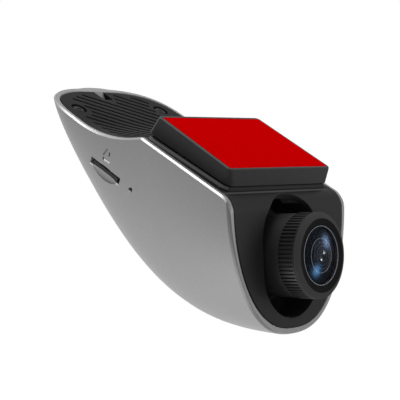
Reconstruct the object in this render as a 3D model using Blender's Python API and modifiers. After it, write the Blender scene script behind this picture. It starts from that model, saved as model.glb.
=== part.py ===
"""Windscreen dash camera with a boat-shaped shell, a ribbed rear deck and a tilting lens.

The frame is the mounted position: +Z is up, the lens looks along -Y and X runs across
the car. The origin is the centre of the adhesive face that meets the windscreen.
"""

import math

import bmesh
import bpy
from mathutils import Matrix, Vector

MM = 0.001
OBJECT_NAME = "dash_camera"
GAP = 0.3 * MM
THIN_GAP = 0.1 * MM
TIP_WELD = 0.02 * MM

# Shell: side profile of its rim, from the front face to the tail
FRONT_Y = -15.3 * MM
TAIL_Y = 60.2 * MM
KINK_Y = 16.6 * MM
KINK_Z = 2.1 * MM
RAMP_ANGLE = math.radians(30.4)
ROLL_RADIUS = 6.6 * MM
STEP_LENGTH = 3.7 * MM
DECK_RADIUS = 40.5 * MM
DECK_ANGLE = math.radians(31.8)
ARC_STEPS = 8

# Shell: plan, keel and sections
FRONT_HALF_WIDTH = 28.2 * MM
REAR_HALF_WIDTH = 27.1 * MM
TAIL_START_Y = 43.4 * MM
TAIL_POWER = 2.8
KEEL_Z = -56.0 * MM
KEEL_START_Y = -60.1 * MM
KEEL_POWER = 5.2
SECTION_DEPTH_POWER = (2.0, 1.56)
SECTION_WIDTH_POWER = (2.4, 2.08)
SHELL_WALL = 1.6 * MM
RIM_CHAMFER = 0.45 * MM
BODY_LEVELS = 13
TAIL_LEVELS = 9
SECTION_STEPS = 13
SHELL_OVERRUN = 6.0 * MM

# Front panel and its lens slot
PANEL_INSET = 1.95 * MM
PANEL_WALL = 1.8 * MM
PANEL_SPLIT_Y = -11.6 * MM
SLOT_HALF_WIDTH = 13.3 * MM
SLOT_HALF_HEIGHT = 17.85 * MM
SLOT_STEPS = 14
TUNNEL_END_Y = -6.5 * MM
TUNNEL_WALL = 1.2 * MM
TUNNEL_LIP = 0.4 * MM

# Top cover, its grooved deck, raised seat and cable notch
COVER_DROP = 0.1 * MM
COVER_WALL = 1.8 * MM
COVER_GAP = 0.45 * MM
GROOVE_ANGLE = math.radians(-31.0)
GROOVE_PITCH = 2.7 * MM
GROOVE_OFFSET = 40.3 * MM
GROOVE_WIDTH = 1.15 * MM
GROOVE_DEPTH = 0.8 * MM
GROOVE_SIDE_MARGIN = 6.1 * MM
GROOVE_TAIL_MARGIN = 3.6 * MM
GROOVE_FRONT_Y = 18.4 * MM
GROOVE_CLEARANCE = 1.3 * MM
SCREW_WELL_X = 18.9 * MM
SCREW_WELL_Y = 48.5 * MM
SCREW_WELL_RADIUS = 2.5 * MM
SCREW_WELL_DEPTH = 0.9 * MM
SCREW_HOLE_RADIUS = 1.1 * MM
DECK_POST_RADIUS = 2.2 * MM
DECK_POST_BORE = 0.95 * MM
DECK_POST_TOP = 1.9 * MM
DECK_SCREW_TIP = 4.6 * MM
NOTCH_HALF_WIDTH = 2.1 * MM
NOTCH_START_Y = 53.6 * MM

# Adhesive face and mounting plate, in the frame of the windscreen
GLASS_ANGLE = math.radians(31.8)
PAD_LENGTH = 28.8 * MM
PAD_REAR_WIDTH = 45.3 * MM
PAD_FRONT_WIDTH = 47.0 * MM
PAD_CORNER = 0.6 * MM
LINER_THICKNESS = 0.2 * MM
FOAM_THICKNESS = 0.9 * MM
POCKET_DEPTH = 1.05 * MM
PLATE_MARGIN = 0.55 * MM
PLATE_SIDE_FLARE = 0.9 * MM
PLATE_REAR_FLARE = 2.7 * MM
PLATE_FRONT_FLARE = 2.7 * MM
PLATE_FRONT_DROP = 4.5 * MM
PLATE_REAR_DROP = 6.1 * MM
PLATE_CORNER = 1.3 * MM
PLATE_BASE_CORNER = 2.8 * MM
SEAT_SHADOW_GAP = 0.35 * MM
SEAT_MARGIN = 0.7 * MM
SEAT_CHAMFER = 0.8 * MM
SEAT_THICKNESS = 2.6 * MM

# Tilting lens: h is the distance ahead of the tilt axis
LENS_Z = -33.0 * MM
PIVOT_Y = 3.3 * MM
BALL_RADIUS = 16.2 * MM
BALL_WALL = 1.6 * MM
BALL_BACK = -9.0 * MM
NECK_RADIUS = 12.0 * MM
NECK_BORE = 10.4 * MM
NECK_FRONT = 22.3 * MM
KNURL_RADIUS = 12.33 * MM
KNURL_DEPTH = 0.45 * MM
KNURL_COUNT = 66
KNURL_BACK = 22.5 * MM
KNURL_FRONT = 27.9 * MM
BARREL_RADIUS = 10.2 * MM
BEZEL_BACK = 27.2 * MM
BEZEL_STEP = 28.0 * MM
BEZEL_EDGE = 28.3 * MM
BEZEL_FRONT = 29.2 * MM
BEZEL_INNER = 10.5 * MM
GLASS_RADIUS = 8.4 * MM
GLASS_WALL = 0.7 * MM
INNER_GLASS_RADIUS = 5.05 * MM
DOME_RADIUS = 26.0 * MM
TRUNNION_RADIUS = 2.0 * MM
TRUNNION_REACH = 18.75 * MM
BRACKET_NEAR_X = 16.75 * MM
BRACKET_FAR_X = 18.35 * MM
WASHER_X = 16.5 * MM
ROUND_STEPS = 40
SMALL_ROUND_STEPS = 20

# Memory card and the main board that lies under the deck
BOARD_Y = 32.33 * MM
BOARD_Z = -6.84 * MM
CARD_LENGTH = 15.0 * MM
CARD_WIDTH = 11.0 * MM
CARD_THICKNESS = 0.7 * MM
CARD_LIP_THICKNESS = 1.0 * MM
CARD_LIP_LENGTH = 1.0 * MM
CARD_OUTER_X = -25.6 * MM
CARD_OVERTRAVEL = 1.2 * MM
CARD_SLOT_LENGTH = 13.1 * MM
CARD_SLOT_HEIGHT = 1.9 * MM
SCOOP_SURFACE_X = -25.75 * MM
SCOOP_HALF_AXES = (0.8 * MM, 5.3 * MM, 2.3 * MM)
SCOOP_DROP = 0.95 * MM
SCOOP_LEAN = math.radians(-16.0)
BOARD_TOP = -0.95 * MM
BOARD_THICKNESS = 1.2 * MM
BOARD_POST_RADIUS = 2.0 * MM
BOARD_POST_BORE = 0.85 * MM
BOARD_SCREW_TIP = 3.4 * MM
PINHOLE_Y = 22.7 * MM
PINHOLE_Z = -12.75 * MM
PINHOLE_RADIUS = 0.72 * MM

# Surface finishes: colour, roughness, metallic
FINISHES = {
    "silver_paint": ((0.36, 0.36, 0.37), 0.38, 0.6),
    "black_plastic": ((0.035, 0.035, 0.036), 0.45, 0.0),
    "deck_plastic": ((0.04, 0.04, 0.041), 0.5, 0.0),
    "red_film": ((0.5, 0.0, 0.001), 0.45, 0.0),
    "foam": ((0.05, 0.05, 0.05), 0.9, 0.0),
    "lens_black": ((0.03, 0.03, 0.031), 0.35, 0.0),
    "glass": ((0.02, 0.025, 0.04), 0.03, 0.0),
    "circuit_board": ((0.01, 0.08, 0.04), 0.5, 0.0),
    "chip_black": ((0.015, 0.015, 0.016), 0.5, 0.0),
    "bare_steel": ((0.55, 0.55, 0.56), 0.3, 1.0),
    "rubber": ((0.02, 0.02, 0.02), 0.8, 0.0),
    "silicone_grey": ((0.3, 0.32, 0.36), 0.8, 0.0),
    "card_black": ((0.03, 0.03, 0.032), 0.55, 0.0),
}

SIDES = ((-1, "left"), (1, "right"))
GLASS_FRAME = Matrix.Rotation(GLASS_ANGLE, 4, "X")
BOARD_FRAME = Matrix.Translation((0.0, BOARD_Y, BOARD_Z)) @ GLASS_FRAME
SIDE_FRAME = Matrix(((0, 0, 1, 0), (1, 0, 0, 0), (0, 1, 0, 0), (0, 0, 0, 1)))
FACE_FRAME = Matrix(((1, 0, 0, 0), (0, 0, -1, 0), (0, 1, 0, 0), (0, 0, 0, 1)))
LENS_FRAME = Matrix.Rotation(math.radians(90.0), 4, "X")
ACROSS_FRAME = Matrix.Rotation(math.radians(90.0), 4, "Y")


def clear_scene():
    for item in list(bpy.data.objects):
        bpy.data.objects.remove(item, do_unlink=True)


def new_collection(name):
    collection = bpy.data.collections.new(name)
    bpy.context.scene.collection.children.link(collection)
    return collection


def finish(name):
    """Material with the finish's colour, made once and shared."""
    material = bpy.data.materials.get(name)
    if material is None:
        colour, roughness, metallic = FINISHES[name]
        material = bpy.data.materials.new(name)
        material.use_nodes = True
        shader = material.node_tree.nodes["Principled BSDF"]
        shader.inputs["Base Color"].default_value = (*colour, 1.0)
        shader.inputs["Roughness"].default_value = roughness
        shader.inputs["Metallic"].default_value = metallic
    return material


def add_part(name, mesh, material):
    """Put a mesh in the parts collection as one named piece."""
    mesh.materials.clear()
    mesh.materials.append(finish(material))
    part = bpy.data.objects.new(name, mesh)
    PARTS.objects.link(part)
    return part


def add_cutter(name, mesh):
    """Keep a mesh as a hidden Boolean operand."""
    cutter = bpy.data.objects.new(name, mesh)
    cutter.display_type = "WIRE"
    cutter.hide_render = True
    CUTTERS.objects.link(cutter)
    return cutter


def combine(part, operation, name, mesh):
    """Add a Boolean modifier that joins, cuts or keeps by another mesh."""
    modifier = part.modifiers.new(name, "BOOLEAN")
    modifier.operation = operation
    modifier.object = add_cutter(name, mesh)
    return part


def baked(part):
    """Replace a piece's mesh by its evaluated one, so that later steps start clean."""
    graph = bpy.context.evaluated_depsgraph_get()
    mesh = bpy.data.meshes.new_from_object(part.evaluated_get(graph))
    part.modifiers.clear()
    part.data = mesh
    return part


def edited(mesh, weld=1e-7):
    """Weld coincident points and turn the faces outwards."""
    work = bmesh.new()
    work.from_mesh(mesh)
    bmesh.ops.remove_doubles(work, verts=work.verts, dist=weld)
    bmesh.ops.dissolve_degenerate(work, edges=work.edges, dist=weld)
    bmesh.ops.recalc_face_normals(work, faces=work.faces)
    work.to_mesh(mesh)
    work.free()
    return mesh


def joined(meshes):
    """One mesh that holds several separate solids."""
    work = bmesh.new()
    for mesh in meshes:
        work.from_mesh(mesh)
    result = bpy.data.meshes.new("joined")
    work.to_mesh(result)
    work.free()
    return result


def kept_within(mesh, limit, name):
    """The part of a mesh that lies inside another one."""
    holder = combine(add_cutter(name, mesh), "INTERSECT", f"{name}_limit", limit)
    result = baked(holder).data
    bpy.data.objects.remove(holder)
    return result


def slab(outline, low, high, frame=Matrix.Identity(4)):
    """Flat outline filled and thickened between two heights of its own frame."""
    curve = bpy.data.curves.new("outline", "CURVE")
    curve.dimensions = "2D"
    curve.fill_mode = "BOTH"
    curve.extrude = 0.5 * (high - low)
    spline = curve.splines.new("POLY")
    spline.points.add(len(outline) - 1)
    for point, (u, v) in zip(spline.points, outline):
        point.co = (u, v, 0.0, 1.0)
    spline.use_cyclic_u = True
    holder = bpy.data.objects.new("outline", curve)
    bpy.context.scene.collection.objects.link(holder)
    graph = bpy.context.evaluated_depsgraph_get()
    mesh = bpy.data.meshes.new_from_object(holder.evaluated_get(graph))
    bpy.data.objects.remove(holder)
    bpy.data.curves.remove(curve)
    mesh.transform(frame @ Matrix.Translation((0.0, 0.0, 0.5 * (low + high))))
    return edited(mesh)


def rectangle(x_low, x_high, y_low, y_high):
    return [(x_low, y_low), (x_high, y_low), (x_high, y_high), (x_low, y_high)]


def box(x_range, y_range, z_range, frame=Matrix.Identity(4)):
    return slab(rectangle(*x_range, *y_range), *z_range, frame)


def arc(centre, radius, start, end, steps):
    """Points on a circle from one angle to another, both ends included."""
    angles = [start + (end - start) * i / steps for i in range(steps + 1)]
    return [(centre[0] + radius * math.cos(a), centre[1] + radius * math.sin(a)) for a in angles]


def circle(centre, radius, steps):
    return arc(centre, radius, 0.0, 2.0 * math.pi, steps)[:-1]


def rounded(corners, radius, steps=3):
    """Outline with each of its corners replaced by a tangent arc."""
    points = []
    count = len(corners)
    for i in range(count):
        here = Vector(corners[i])
        before = (Vector(corners[i - 1]) - here).normalized()
        after = (Vector(corners[(i + 1) % count]) - here).normalized()
        half = 0.5 * before.angle(after)
        middle = here + (before + after).normalized() * radius / math.sin(half)
        first = here + before * radius / math.tan(half) - middle
        last = here + after * radius / math.tan(half) - middle
        turn = first.angle_signed(last)
        for j in range(steps + 1):
            points.append(tuple(middle + Matrix.Rotation(-turn * j / steps, 2) @ first))
    return points


def turned(profile, frame, steps=ROUND_STEPS):
    """Closed profile of (radius, height) points, top to bottom outside, spun about its axis."""
    mesh = bpy.data.meshes.new("profile")
    count = len(profile)
    closed = profile[0][0] > 0.0 or profile[-1][0] > 0.0
    edges = [(i, i + 1) for i in range(count - 1)]
    if closed:
        edges.append((count - 1, 0))
    mesh.from_pydata([(r, 0.0, h) for r, h in profile], edges, [])
    holder = bpy.data.objects.new("profile", mesh)
    bpy.context.scene.collection.objects.link(holder)
    screw = holder.modifiers.new("screw", "SCREW")
    screw.steps = steps
    screw.render_steps = steps
    screw.use_merge_vertices = True
    screw.merge_threshold = 0.000001
    graph = bpy.context.evaluated_depsgraph_get()
    result = bpy.data.meshes.new_from_object(holder.evaluated_get(graph))
    bpy.data.objects.remove(holder)
    result.transform(frame)
    return edited(result)


def disc(radius, low, high, frame, steps=SMALL_ROUND_STEPS):
    return slab(circle((0.0, 0.0), radius, steps), low, high, frame)


def tilted_at(x, y, z=0.0):
    """Frame on the main board's plane, at a place given along and across it."""
    return BOARD_FRAME @ Matrix.Translation((x, y, z))


def loft(rings):
    """Skin over rings of equal point counts, closed round each ring and capped at both ends."""
    work = bmesh.new()
    rows = [[work.verts.new(point) for point in ring] for ring in rings]
    count = len(rows[0])
    for low, high in zip(rows, rows[1:]):
        for i in range(count):
            j = (i + 1) % count
            work.faces.new((low[i], low[j], high[j], high[i]))
    work.faces.new(reversed(rows[0]))
    work.faces.new(rows[-1])
    mesh = bpy.data.meshes.new("loft")
    work.to_mesh(mesh)
    work.free()
    return edited(mesh)


def ramp_height(y):
    return KINK_Z + math.tan(RAMP_ANGLE) * (y - KINK_Y)


def arc_start_y():
    return KINK_Y + STEP_LENGTH


def arc_end_y():
    return arc_start_y() + DECK_RADIUS * math.sin(DECK_ANGLE)


def rim_height(y):
    """Side profile of the rim without its rolled front corner."""
    if y < KINK_Y:
        return ramp_height(y)
    if y < arc_start_y():
        return KINK_Z
    reach = min(y, arc_end_y()) - arc_start_y()
    rise = DECK_RADIUS - math.sqrt(DECK_RADIUS ** 2 - reach ** 2)
    return KINK_Z + rise + math.tan(DECK_ANGLE) * max(y - arc_end_y(), 0.0)


def keel_height(y):
    share = (y - KEEL_START_Y) / (TAIL_Y - KEEL_START_Y)
    return KEEL_Z + (rim_height(TAIL_Y) - KEEL_Z) * share ** KEEL_POWER


def half_width(y, inset=0.0, tail_inset=0.0):
    """Half of the plan's width: a straight taper, then a blunt superellipse round the tail."""
    share = min((y - FRONT_Y) / (TAIL_START_Y - FRONT_Y), 1.0)
    width = FRONT_HALF_WIDTH + (REAR_HALF_WIDTH - FRONT_HALF_WIDTH) * share - inset
    if y <= TAIL_START_Y:
        return width
    reach = (y - TAIL_START_Y) / (TAIL_Y - tail_inset - TAIL_START_Y)
    return width * max(1.0 - min(reach, 1.0) ** TAIL_POWER, 0.0) ** (1.0 / TAIL_POWER)


def tail_levels(tail_inset=0.0):
    """Stations along Y that follow the tail's turn evenly."""
    length = TAIL_Y - tail_inset - TAIL_START_Y
    turns = [0.5 * math.pi * (i + 1) / TAIL_LEVELS for i in range(TAIL_LEVELS)]
    return [TAIL_START_Y + length * math.sin(turn) ** (2.0 / TAIL_POWER) for turn in turns]


def shell_section(y, inset=0.0):
    """Hull section from the left rim under the keel to the right rim, with upright ends."""
    along = min(max((y - FRONT_Y) / (TAIL_Y - FRONT_Y), 0.0), 1.0)
    depth_power, width_power = (
        first + (last - first) * along
        for first, last in (SECTION_DEPTH_POWER, SECTION_WIDTH_POWER)
    )
    top = rim_height(y)
    depth = top - keel_height(min(y + inset, TAIL_Y))
    width = half_width(y, inset, inset)
    side = []
    for i in range(SECTION_STEPS + 1):
        share = math.sin(0.5 * math.pi * i / SECTION_STEPS)
        x = width * max(1.0 - share ** depth_power, 0.0) ** (1.0 / width_power)
        side.append((x, top - depth * share))
    side = [(width, top + SHELL_OVERRUN)] + side
    left = [(-x, y, z) for x, z in side]
    right = [(x, y, z) for x, z in reversed(side[:-1])]
    return left + right


def rim_profile():
    """Side view of the rim: front face, rolled corner, ramp, step, deck arc and tail."""
    centre_y = FRONT_Y + ROLL_RADIUS
    centre_z = ramp_height(centre_y) - ROLL_RADIUS / math.cos(RAMP_ANGLE)
    roll = arc((centre_y, centre_z), ROLL_RADIUS, math.pi, 0.5 * math.pi + RAMP_ANGLE, ARC_STEPS)
    deck_y = [arc_start_y() + (arc_end_y() - arc_start_y()) * i / ARC_STEPS for i in range(ARC_STEPS + 1)]
    deck = [(y, rim_height(y)) for y in deck_y]
    return roll + [(KINK_Y, KINK_Z)] + deck


def lowered(profile, drop):
    """Side profile moved towards the inside by a drop measured square to it."""
    points = [Vector(point) for point in profile]
    result = []
    for i, point in enumerate(points):
        before = points[max(i - 1, 0)]
        after = points[min(i + 1, len(points) - 1)]
        along = (after - before).normalized()
        result.append((point.x + along.y * drop, point.y - along.x * drop))
    return result


def extended(profile, y):
    """Side profile carried on along the tail's straight slope to a given station."""
    last_y, last_z = profile[-1]
    return profile + [(y, last_z + math.tan(DECK_ANGLE) * (y - last_y))]


def shell_trim():
    """Everything under the rim and behind the front face, as one block."""
    beyond = TAIL_Y + 2.0 * SHELL_OVERRUN
    top = extended(rim_profile(), beyond)
    floor = KEEL_Z - SHELL_OVERRUN
    return across(top + [(beyond, floor), (FRONT_Y, floor)])


def across(profile):
    """Side profile carried right across the object."""
    return slab(profile, -2.0 * FRONT_HALF_WIDTH, 2.0 * FRONT_HALF_WIDTH, SIDE_FRAME)


def hull_fill(inset, start_y):
    """Solid that fills the hull from a station to the tail, drawn in by an inset."""
    stations = [start_y, KINK_Y, arc_start_y(), arc_end_y(), TAIL_START_Y] + tail_levels(inset)
    return loft([shell_section(y, inset) for y in stations])


def card_slot_cutter():
    half_length = 0.5 * CARD_SLOT_LENGTH
    half_height = 0.5 * CARD_SLOT_HEIGHT
    outline = rounded(rectangle(-half_length, half_length, -half_height, half_height), 0.2 * MM, 2)
    frame = BOARD_FRAME @ Matrix(((0, 0, 1, 0), (1, 0, 0, 0), (0, 1, 0, 0), (0, 0, 0, 1)))
    return slab(outline, 1.4 * CARD_OUTER_X, 0.8 * CARD_OUTER_X, frame)


def nail_scoop_cutter():
    """Shallow oval scoop under the card slot, where a fingernail reaches the card."""
    work = bmesh.new()
    bmesh.ops.create_uvsphere(work, u_segments=24, v_segments=12, radius=1.0)
    mesh = bpy.data.meshes.new("nail_scoop")
    work.to_mesh(mesh)
    work.free()
    place = tilted_at(SCOOP_SURFACE_X, 0.0, -SCOOP_DROP) @ Matrix.Rotation(SCOOP_LEAN, 4, "Y")
    mesh.transform(place @ Matrix.Diagonal((*SCOOP_HALF_AXES, 1.0)))
    return mesh


def notch_cutter():
    """Cable notch through the cover, open to the shell's tail wall."""
    half = NOTCH_HALF_WIDTH
    return box((-half, half), (NOTCH_START_Y, TAIL_Y), (0.0, rim_height(TAIL_Y) + SHELL_OVERRUN))


def make_shell():
    """Silver hull: lofted skin thickened inwards, then trimmed to its rim."""
    front_start = FRONT_Y - SHELL_OVERRUN
    stations = [front_start + (TAIL_START_Y - front_start) * i / BODY_LEVELS for i in range(BODY_LEVELS + 1)]
    stations += [KINK_Y, arc_start_y()]
    rings = [shell_section(y) for y in sorted(stations) + tail_levels()]
    work = bmesh.new()
    rows = [[work.verts.new(point) for point in ring] for ring in rings]
    for near, far in zip(rows, rows[1:]):
        for i in range(len(near) - 1):
            work.faces.new((near[i], near[i + 1], far[i + 1], far[i]))
    bmesh.ops.remove_doubles(work, verts=work.verts, dist=1e-6)
    bmesh.ops.dissolve_degenerate(work, edges=work.edges, dist=1e-7)
    bmesh.ops.recalc_face_normals(work, faces=work.faces)
    lowest = min(work.faces, key=lambda face: face.calc_center_median().z)
    if lowest.normal.z > 0.0:
        bmesh.ops.reverse_faces(work, faces=work.faces)
    mesh = bpy.data.meshes.new("hull_shell")
    work.to_mesh(mesh)
    work.free()
    shell = add_part("hull_shell", mesh, "silver_paint")
    wall = shell.modifiers.new("wall", "SOLIDIFY")
    wall.thickness = SHELL_WALL
    wall.offset = -1.0
    wall.use_even_offset = True
    combine(shell, "INTERSECT", "shell_trim", shell_trim())
    baked(shell)
    chamfer = shell.modifiers.new("rim_chamfer", "BEVEL")
    chamfer.width = RIM_CHAMFER
    chamfer.segments = 1
    chamfer.limit_method = "ANGLE"
    chamfer.angle_limit = math.radians(55.0)
    edited(baked(shell).data, TIP_WELD)
    combine(shell, "DIFFERENCE", "nail_scoop", nail_scoop_cutter())
    combine(shell, "DIFFERENCE", "card_slot", card_slot_cutter())
    for side, name in SIDES:
        post = disc(DECK_POST_RADIUS, -2.0 * SHELL_OVERRUN, -DECK_POST_TOP, well_frame(side))
        within = hull_fill(0.5 * SHELL_WALL, 0.0)
        combine(shell, "UNION", f"deck_post_{name}", kept_within(post, within, f"post_{name}"))
        bore = disc(DECK_POST_BORE, -DECK_SCREW_TIP - THIN_GAP, 0.0, well_frame(side), 12)
        combine(shell, "DIFFERENCE", f"deck_post_bore_{name}", bore)
    pin_frame = Matrix.Translation((0.0, PINHOLE_Y, PINHOLE_Z)) @ ACROSS_FRAME
    pinhole = disc(PINHOLE_RADIUS, -1.4 * FRONT_HALF_WIDTH, -0.6 * FRONT_HALF_WIDTH, pin_frame, 12)
    combine(shell, "DIFFERENCE", "pinhole", pinhole)
    return shell


def front_outline(inset):
    """Outline of the front face: the hull's front section drawn in by an inset."""
    top = rim_height(FRONT_Y + ROLL_RADIUS) + SHELL_OVERRUN
    points = [Vector((x, z)) for x, _, z in shell_section(FRONT_Y)][1:-1]
    drawn = []
    for i, point in enumerate(points):
        before = points[max(i - 1, 0)]
        after = points[min(i + 1, len(points) - 1)]
        along = (after - before).normalized()
        drawn.append((point.x - along.y * inset, point.y + along.x * inset))
    return [(drawn[0][0], top)] + drawn + [(drawn[-1][0], top)]


def slot_outline(grow=0.0):
    """Upright slot with round ends, centred on the lens."""
    radius = SLOT_HALF_WIDTH + grow
    lift = SLOT_HALF_HEIGHT - SLOT_HALF_WIDTH
    top = arc((0.0, LENS_Z + lift), radius, 0.0, math.pi, SLOT_STEPS)
    bottom = arc((0.0, LENS_Z - lift), radius, math.pi, 2.0 * math.pi, SLOT_STEPS)
    return top + bottom


def lens_tunnel():
    """Sleeve that leads back from the lens slot to the ball, clear of the sloping cover."""
    front = -FRONT_Y - 0.7 * PANEL_WALL
    sleeve = add_cutter("lens_sleeve", slab(slot_outline(TUNNEL_WALL), -TUNNEL_END_Y, front, FACE_FRAME))
    bore = slab(slot_outline(), -TUNNEL_END_Y - MM, front + MM, FACE_FRAME)
    combine(sleeve, "DIFFERENCE", "sleeve_bore", bore)
    drop = COVER_DROP + COVER_WALL + GAP
    ends = [FRONT_Y - SHELL_OVERRUN, KINK_Y]
    under_cover = [(y, ramp_height(y) - drop) for y in ends] + [(y, 2.0 * KEEL_Z) for y in ends[::-1]]
    combine(sleeve, "INTERSECT", "sleeve_trim", across(under_cover))
    return baked(sleeve).data


def make_front_panel():
    """Black face that fills the shell's mouth and rolls back under the mounting plate."""
    reach_y = PANEL_SPLIT_Y + 2.0 * PANEL_WALL
    outer = [point for point in rim_profile() if point[0] < reach_y] + [(reach_y, ramp_height(reach_y))]
    floor = KEEL_Z - SHELL_OVERRUN
    outer = [(FRONT_Y, floor)] + outer
    inner = lowered(outer, PANEL_WALL)
    band = across(outer + inner[::-1])
    blank = slab(front_outline(PANEL_INSET), -PANEL_SPLIT_Y, -FRONT_Y + SHELL_OVERRUN, FACE_FRAME)
    panel = add_part("front_panel", blank, "black_plastic")
    combine(panel, "INTERSECT", "panel_band", band)
    slot = slab(slot_outline(), -FRONT_Y - 2 * PANEL_WALL, -FRONT_Y + PANEL_WALL, FACE_FRAME)
    combine(panel, "DIFFERENCE", "lens_slot", slot)
    combine(panel, "UNION", "lens_tunnel", lens_tunnel())
    return baked(panel)


def plate_base_frame():
    """Frame on the plate's underside, which leans a little less than the windscreen."""
    front = GLASS_FRAME @ Vector((0.0, -0.5 * PAD_LENGTH - PLATE_FRONT_FLARE, -PLATE_FRONT_DROP))
    rear = GLASS_FRAME @ Vector((0.0, 0.5 * PAD_LENGTH + PLATE_REAR_FLARE, -PLATE_REAR_DROP))
    lean = math.atan2(rear.z - front.z, rear.y - front.y)
    return Matrix.Translation(front) @ Matrix.Rotation(lean, 4, "X"), (rear - front).length


def pad_corners(margin=0.0, rear=0.0, front=0.0, side=0.0):
    """Corners of the adhesive face in the windscreen's plane, wider at the front."""
    half = 0.5 * PAD_LENGTH + margin
    rear_half = 0.5 * PAD_REAR_WIDTH + margin + side
    front_half = 0.5 * PAD_FRONT_WIDTH + margin + side
    return [
        (-front_half, -half - front),
        (front_half, -half - front),
        (rear_half, half + rear),
        (-rear_half, half + rear),
    ]


def make_adhesive():
    """Foam tape in the plate's pocket and the red film that covers it."""
    film = rounded(pad_corners(), PAD_CORNER)
    add_part("release_film", slab(film, -LINER_THICKNESS, 0.0, GLASS_FRAME), "red_film")
    foam_top = -LINER_THICKNESS - 0.5 * THIN_GAP
    add_part("foam_tape", slab(film, foam_top - FOAM_THICKNESS, foam_top, GLASS_FRAME), "foam")


def foam_floor():
    return -LINER_THICKNESS - THIN_GAP - FOAM_THICKNESS


def make_mounting_plate():
    """Wedge between the adhesive and the cover: its base is larger and leans less."""
    top_height = foam_floor() + POCKET_DEPTH
    top = rounded(pad_corners(PLATE_MARGIN), PLATE_CORNER)
    base_corners = pad_corners(0.0, PLATE_REAR_FLARE, PLATE_FRONT_FLARE, PLATE_SIDE_FLARE)
    base = rounded(base_corners, PLATE_BASE_CORNER)
    span = PAD_LENGTH + PLATE_REAR_FLARE + PLATE_FRONT_FLARE
    start = -0.5 * PAD_LENGTH - PLATE_FRONT_FLARE
    fall = (PLATE_REAR_DROP - PLATE_FRONT_DROP) / span
    upper = [GLASS_FRAME @ Vector((x, y, top_height)) for x, y in top]
    lower = [GLASS_FRAME @ Vector((x, y, -PLATE_FRONT_DROP - fall * (y - start))) for x, y in base]
    plate = add_part("mounting_plate", loft([lower, upper]), "black_plastic")
    edge = plate.modifiers.new("edge_chamfer", "BEVEL")
    edge.width = 0.3 * MM
    edge.segments = 1
    edge.limit_method = "ANGLE"
    edge.angle_limit = math.radians(60.0)
    baked(plate)
    pocket = slab(rounded(pad_corners(THIN_GAP), PAD_CORNER), foam_floor(), 5 * POCKET_DEPTH, GLASS_FRAME)
    combine(plate, "DIFFERENCE", "tape_pocket", pocket)
    return plate


def cover_top_height(y):
    return rim_height(y) - COVER_DROP


def may_be_grooved(x, y):
    """Whether a place on the deck is inside the grooved field and clear of wells and notch."""
    if y < GROOVE_FRONT_Y or y > TAIL_Y - GROOVE_TAIL_MARGIN:
        return False
    if abs(x) > half_width(y, GROOVE_SIDE_MARGIN, GROOVE_TAIL_MARGIN):
        return False
    well_distance = math.hypot(abs(x) - SCREW_WELL_X, y - SCREW_WELL_Y)
    if well_distance < SCREW_WELL_RADIUS + GROOVE_CLEARANCE:
        return False
    return abs(x) > NOTCH_HALF_WIDTH + GROOVE_CLEARANCE or y < NOTCH_START_Y - GROOVE_CLEARANCE


def groove_runs(offset):
    """Unbroken stretches of one groove line, as pairs of distances along it."""
    step = 0.2 * MM
    count = int(2.0 * TAIL_Y / step)
    runs = []
    start = None
    for i in range(count + 1):
        reach = -TAIL_Y + i * step
        inside = may_be_grooved(*groove_point(offset, reach))
        if inside and start is None:
            start = reach
        if not inside and start is not None:
            runs.append((start, reach - step))
            start = None
    return [(low, high) for low, high in runs if high - low > 2.0 * GROOVE_WIDTH]


def groove_point(offset, reach):
    """Place in plan at a distance along a groove line of a given offset."""
    turn = Matrix.Rotation(GROOVE_ANGLE, 2)
    return tuple(turn @ Vector((reach, offset)))


def groove_bars():
    """Diagonal bars that cut the grooves to one depth below the deck's curved face."""
    bars = []
    half = 0.5 * GROOVE_WIDTH
    turn = Matrix.Rotation(GROOVE_ANGLE, 4, "Z")
    high = rim_height(TAIL_Y) + SHELL_OVERRUN
    for i in range(-14, 8):
        offset = GROOVE_OFFSET + i * GROOVE_PITCH
        for start, end in groove_runs(offset):
            bars.append(box((start, end), (offset - half, offset + half), (-SHELL_OVERRUN, high), turn))
    top = [point for point in extended(rim_profile(), TAIL_Y) if point[0] > 0.0]
    floor = [(y, z - COVER_DROP - GROOVE_DEPTH) for y, z in top]
    layer = across(floor + [(TAIL_Y, 2.0 * high), (0.0, 2.0 * high)])
    return kept_within(joined(bars), layer, "groove_bars")


def well_frame(side):
    """Frame on the deck's face at one screw well."""
    place = (side * SCREW_WELL_X, SCREW_WELL_Y, cover_top_height(SCREW_WELL_Y))
    return Matrix.Translation(place) @ Matrix.Rotation(DECK_ANGLE, 4, "X")


def board_post_places():
    rear = [(-16.0 * MM, 12.0 * MM), (18.0 * MM, 12.0 * MM)]
    front = [(-16.5 * MM, -13.5 * MM), (19.0 * MM, -13.5 * MM)]
    return rear + front


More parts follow.
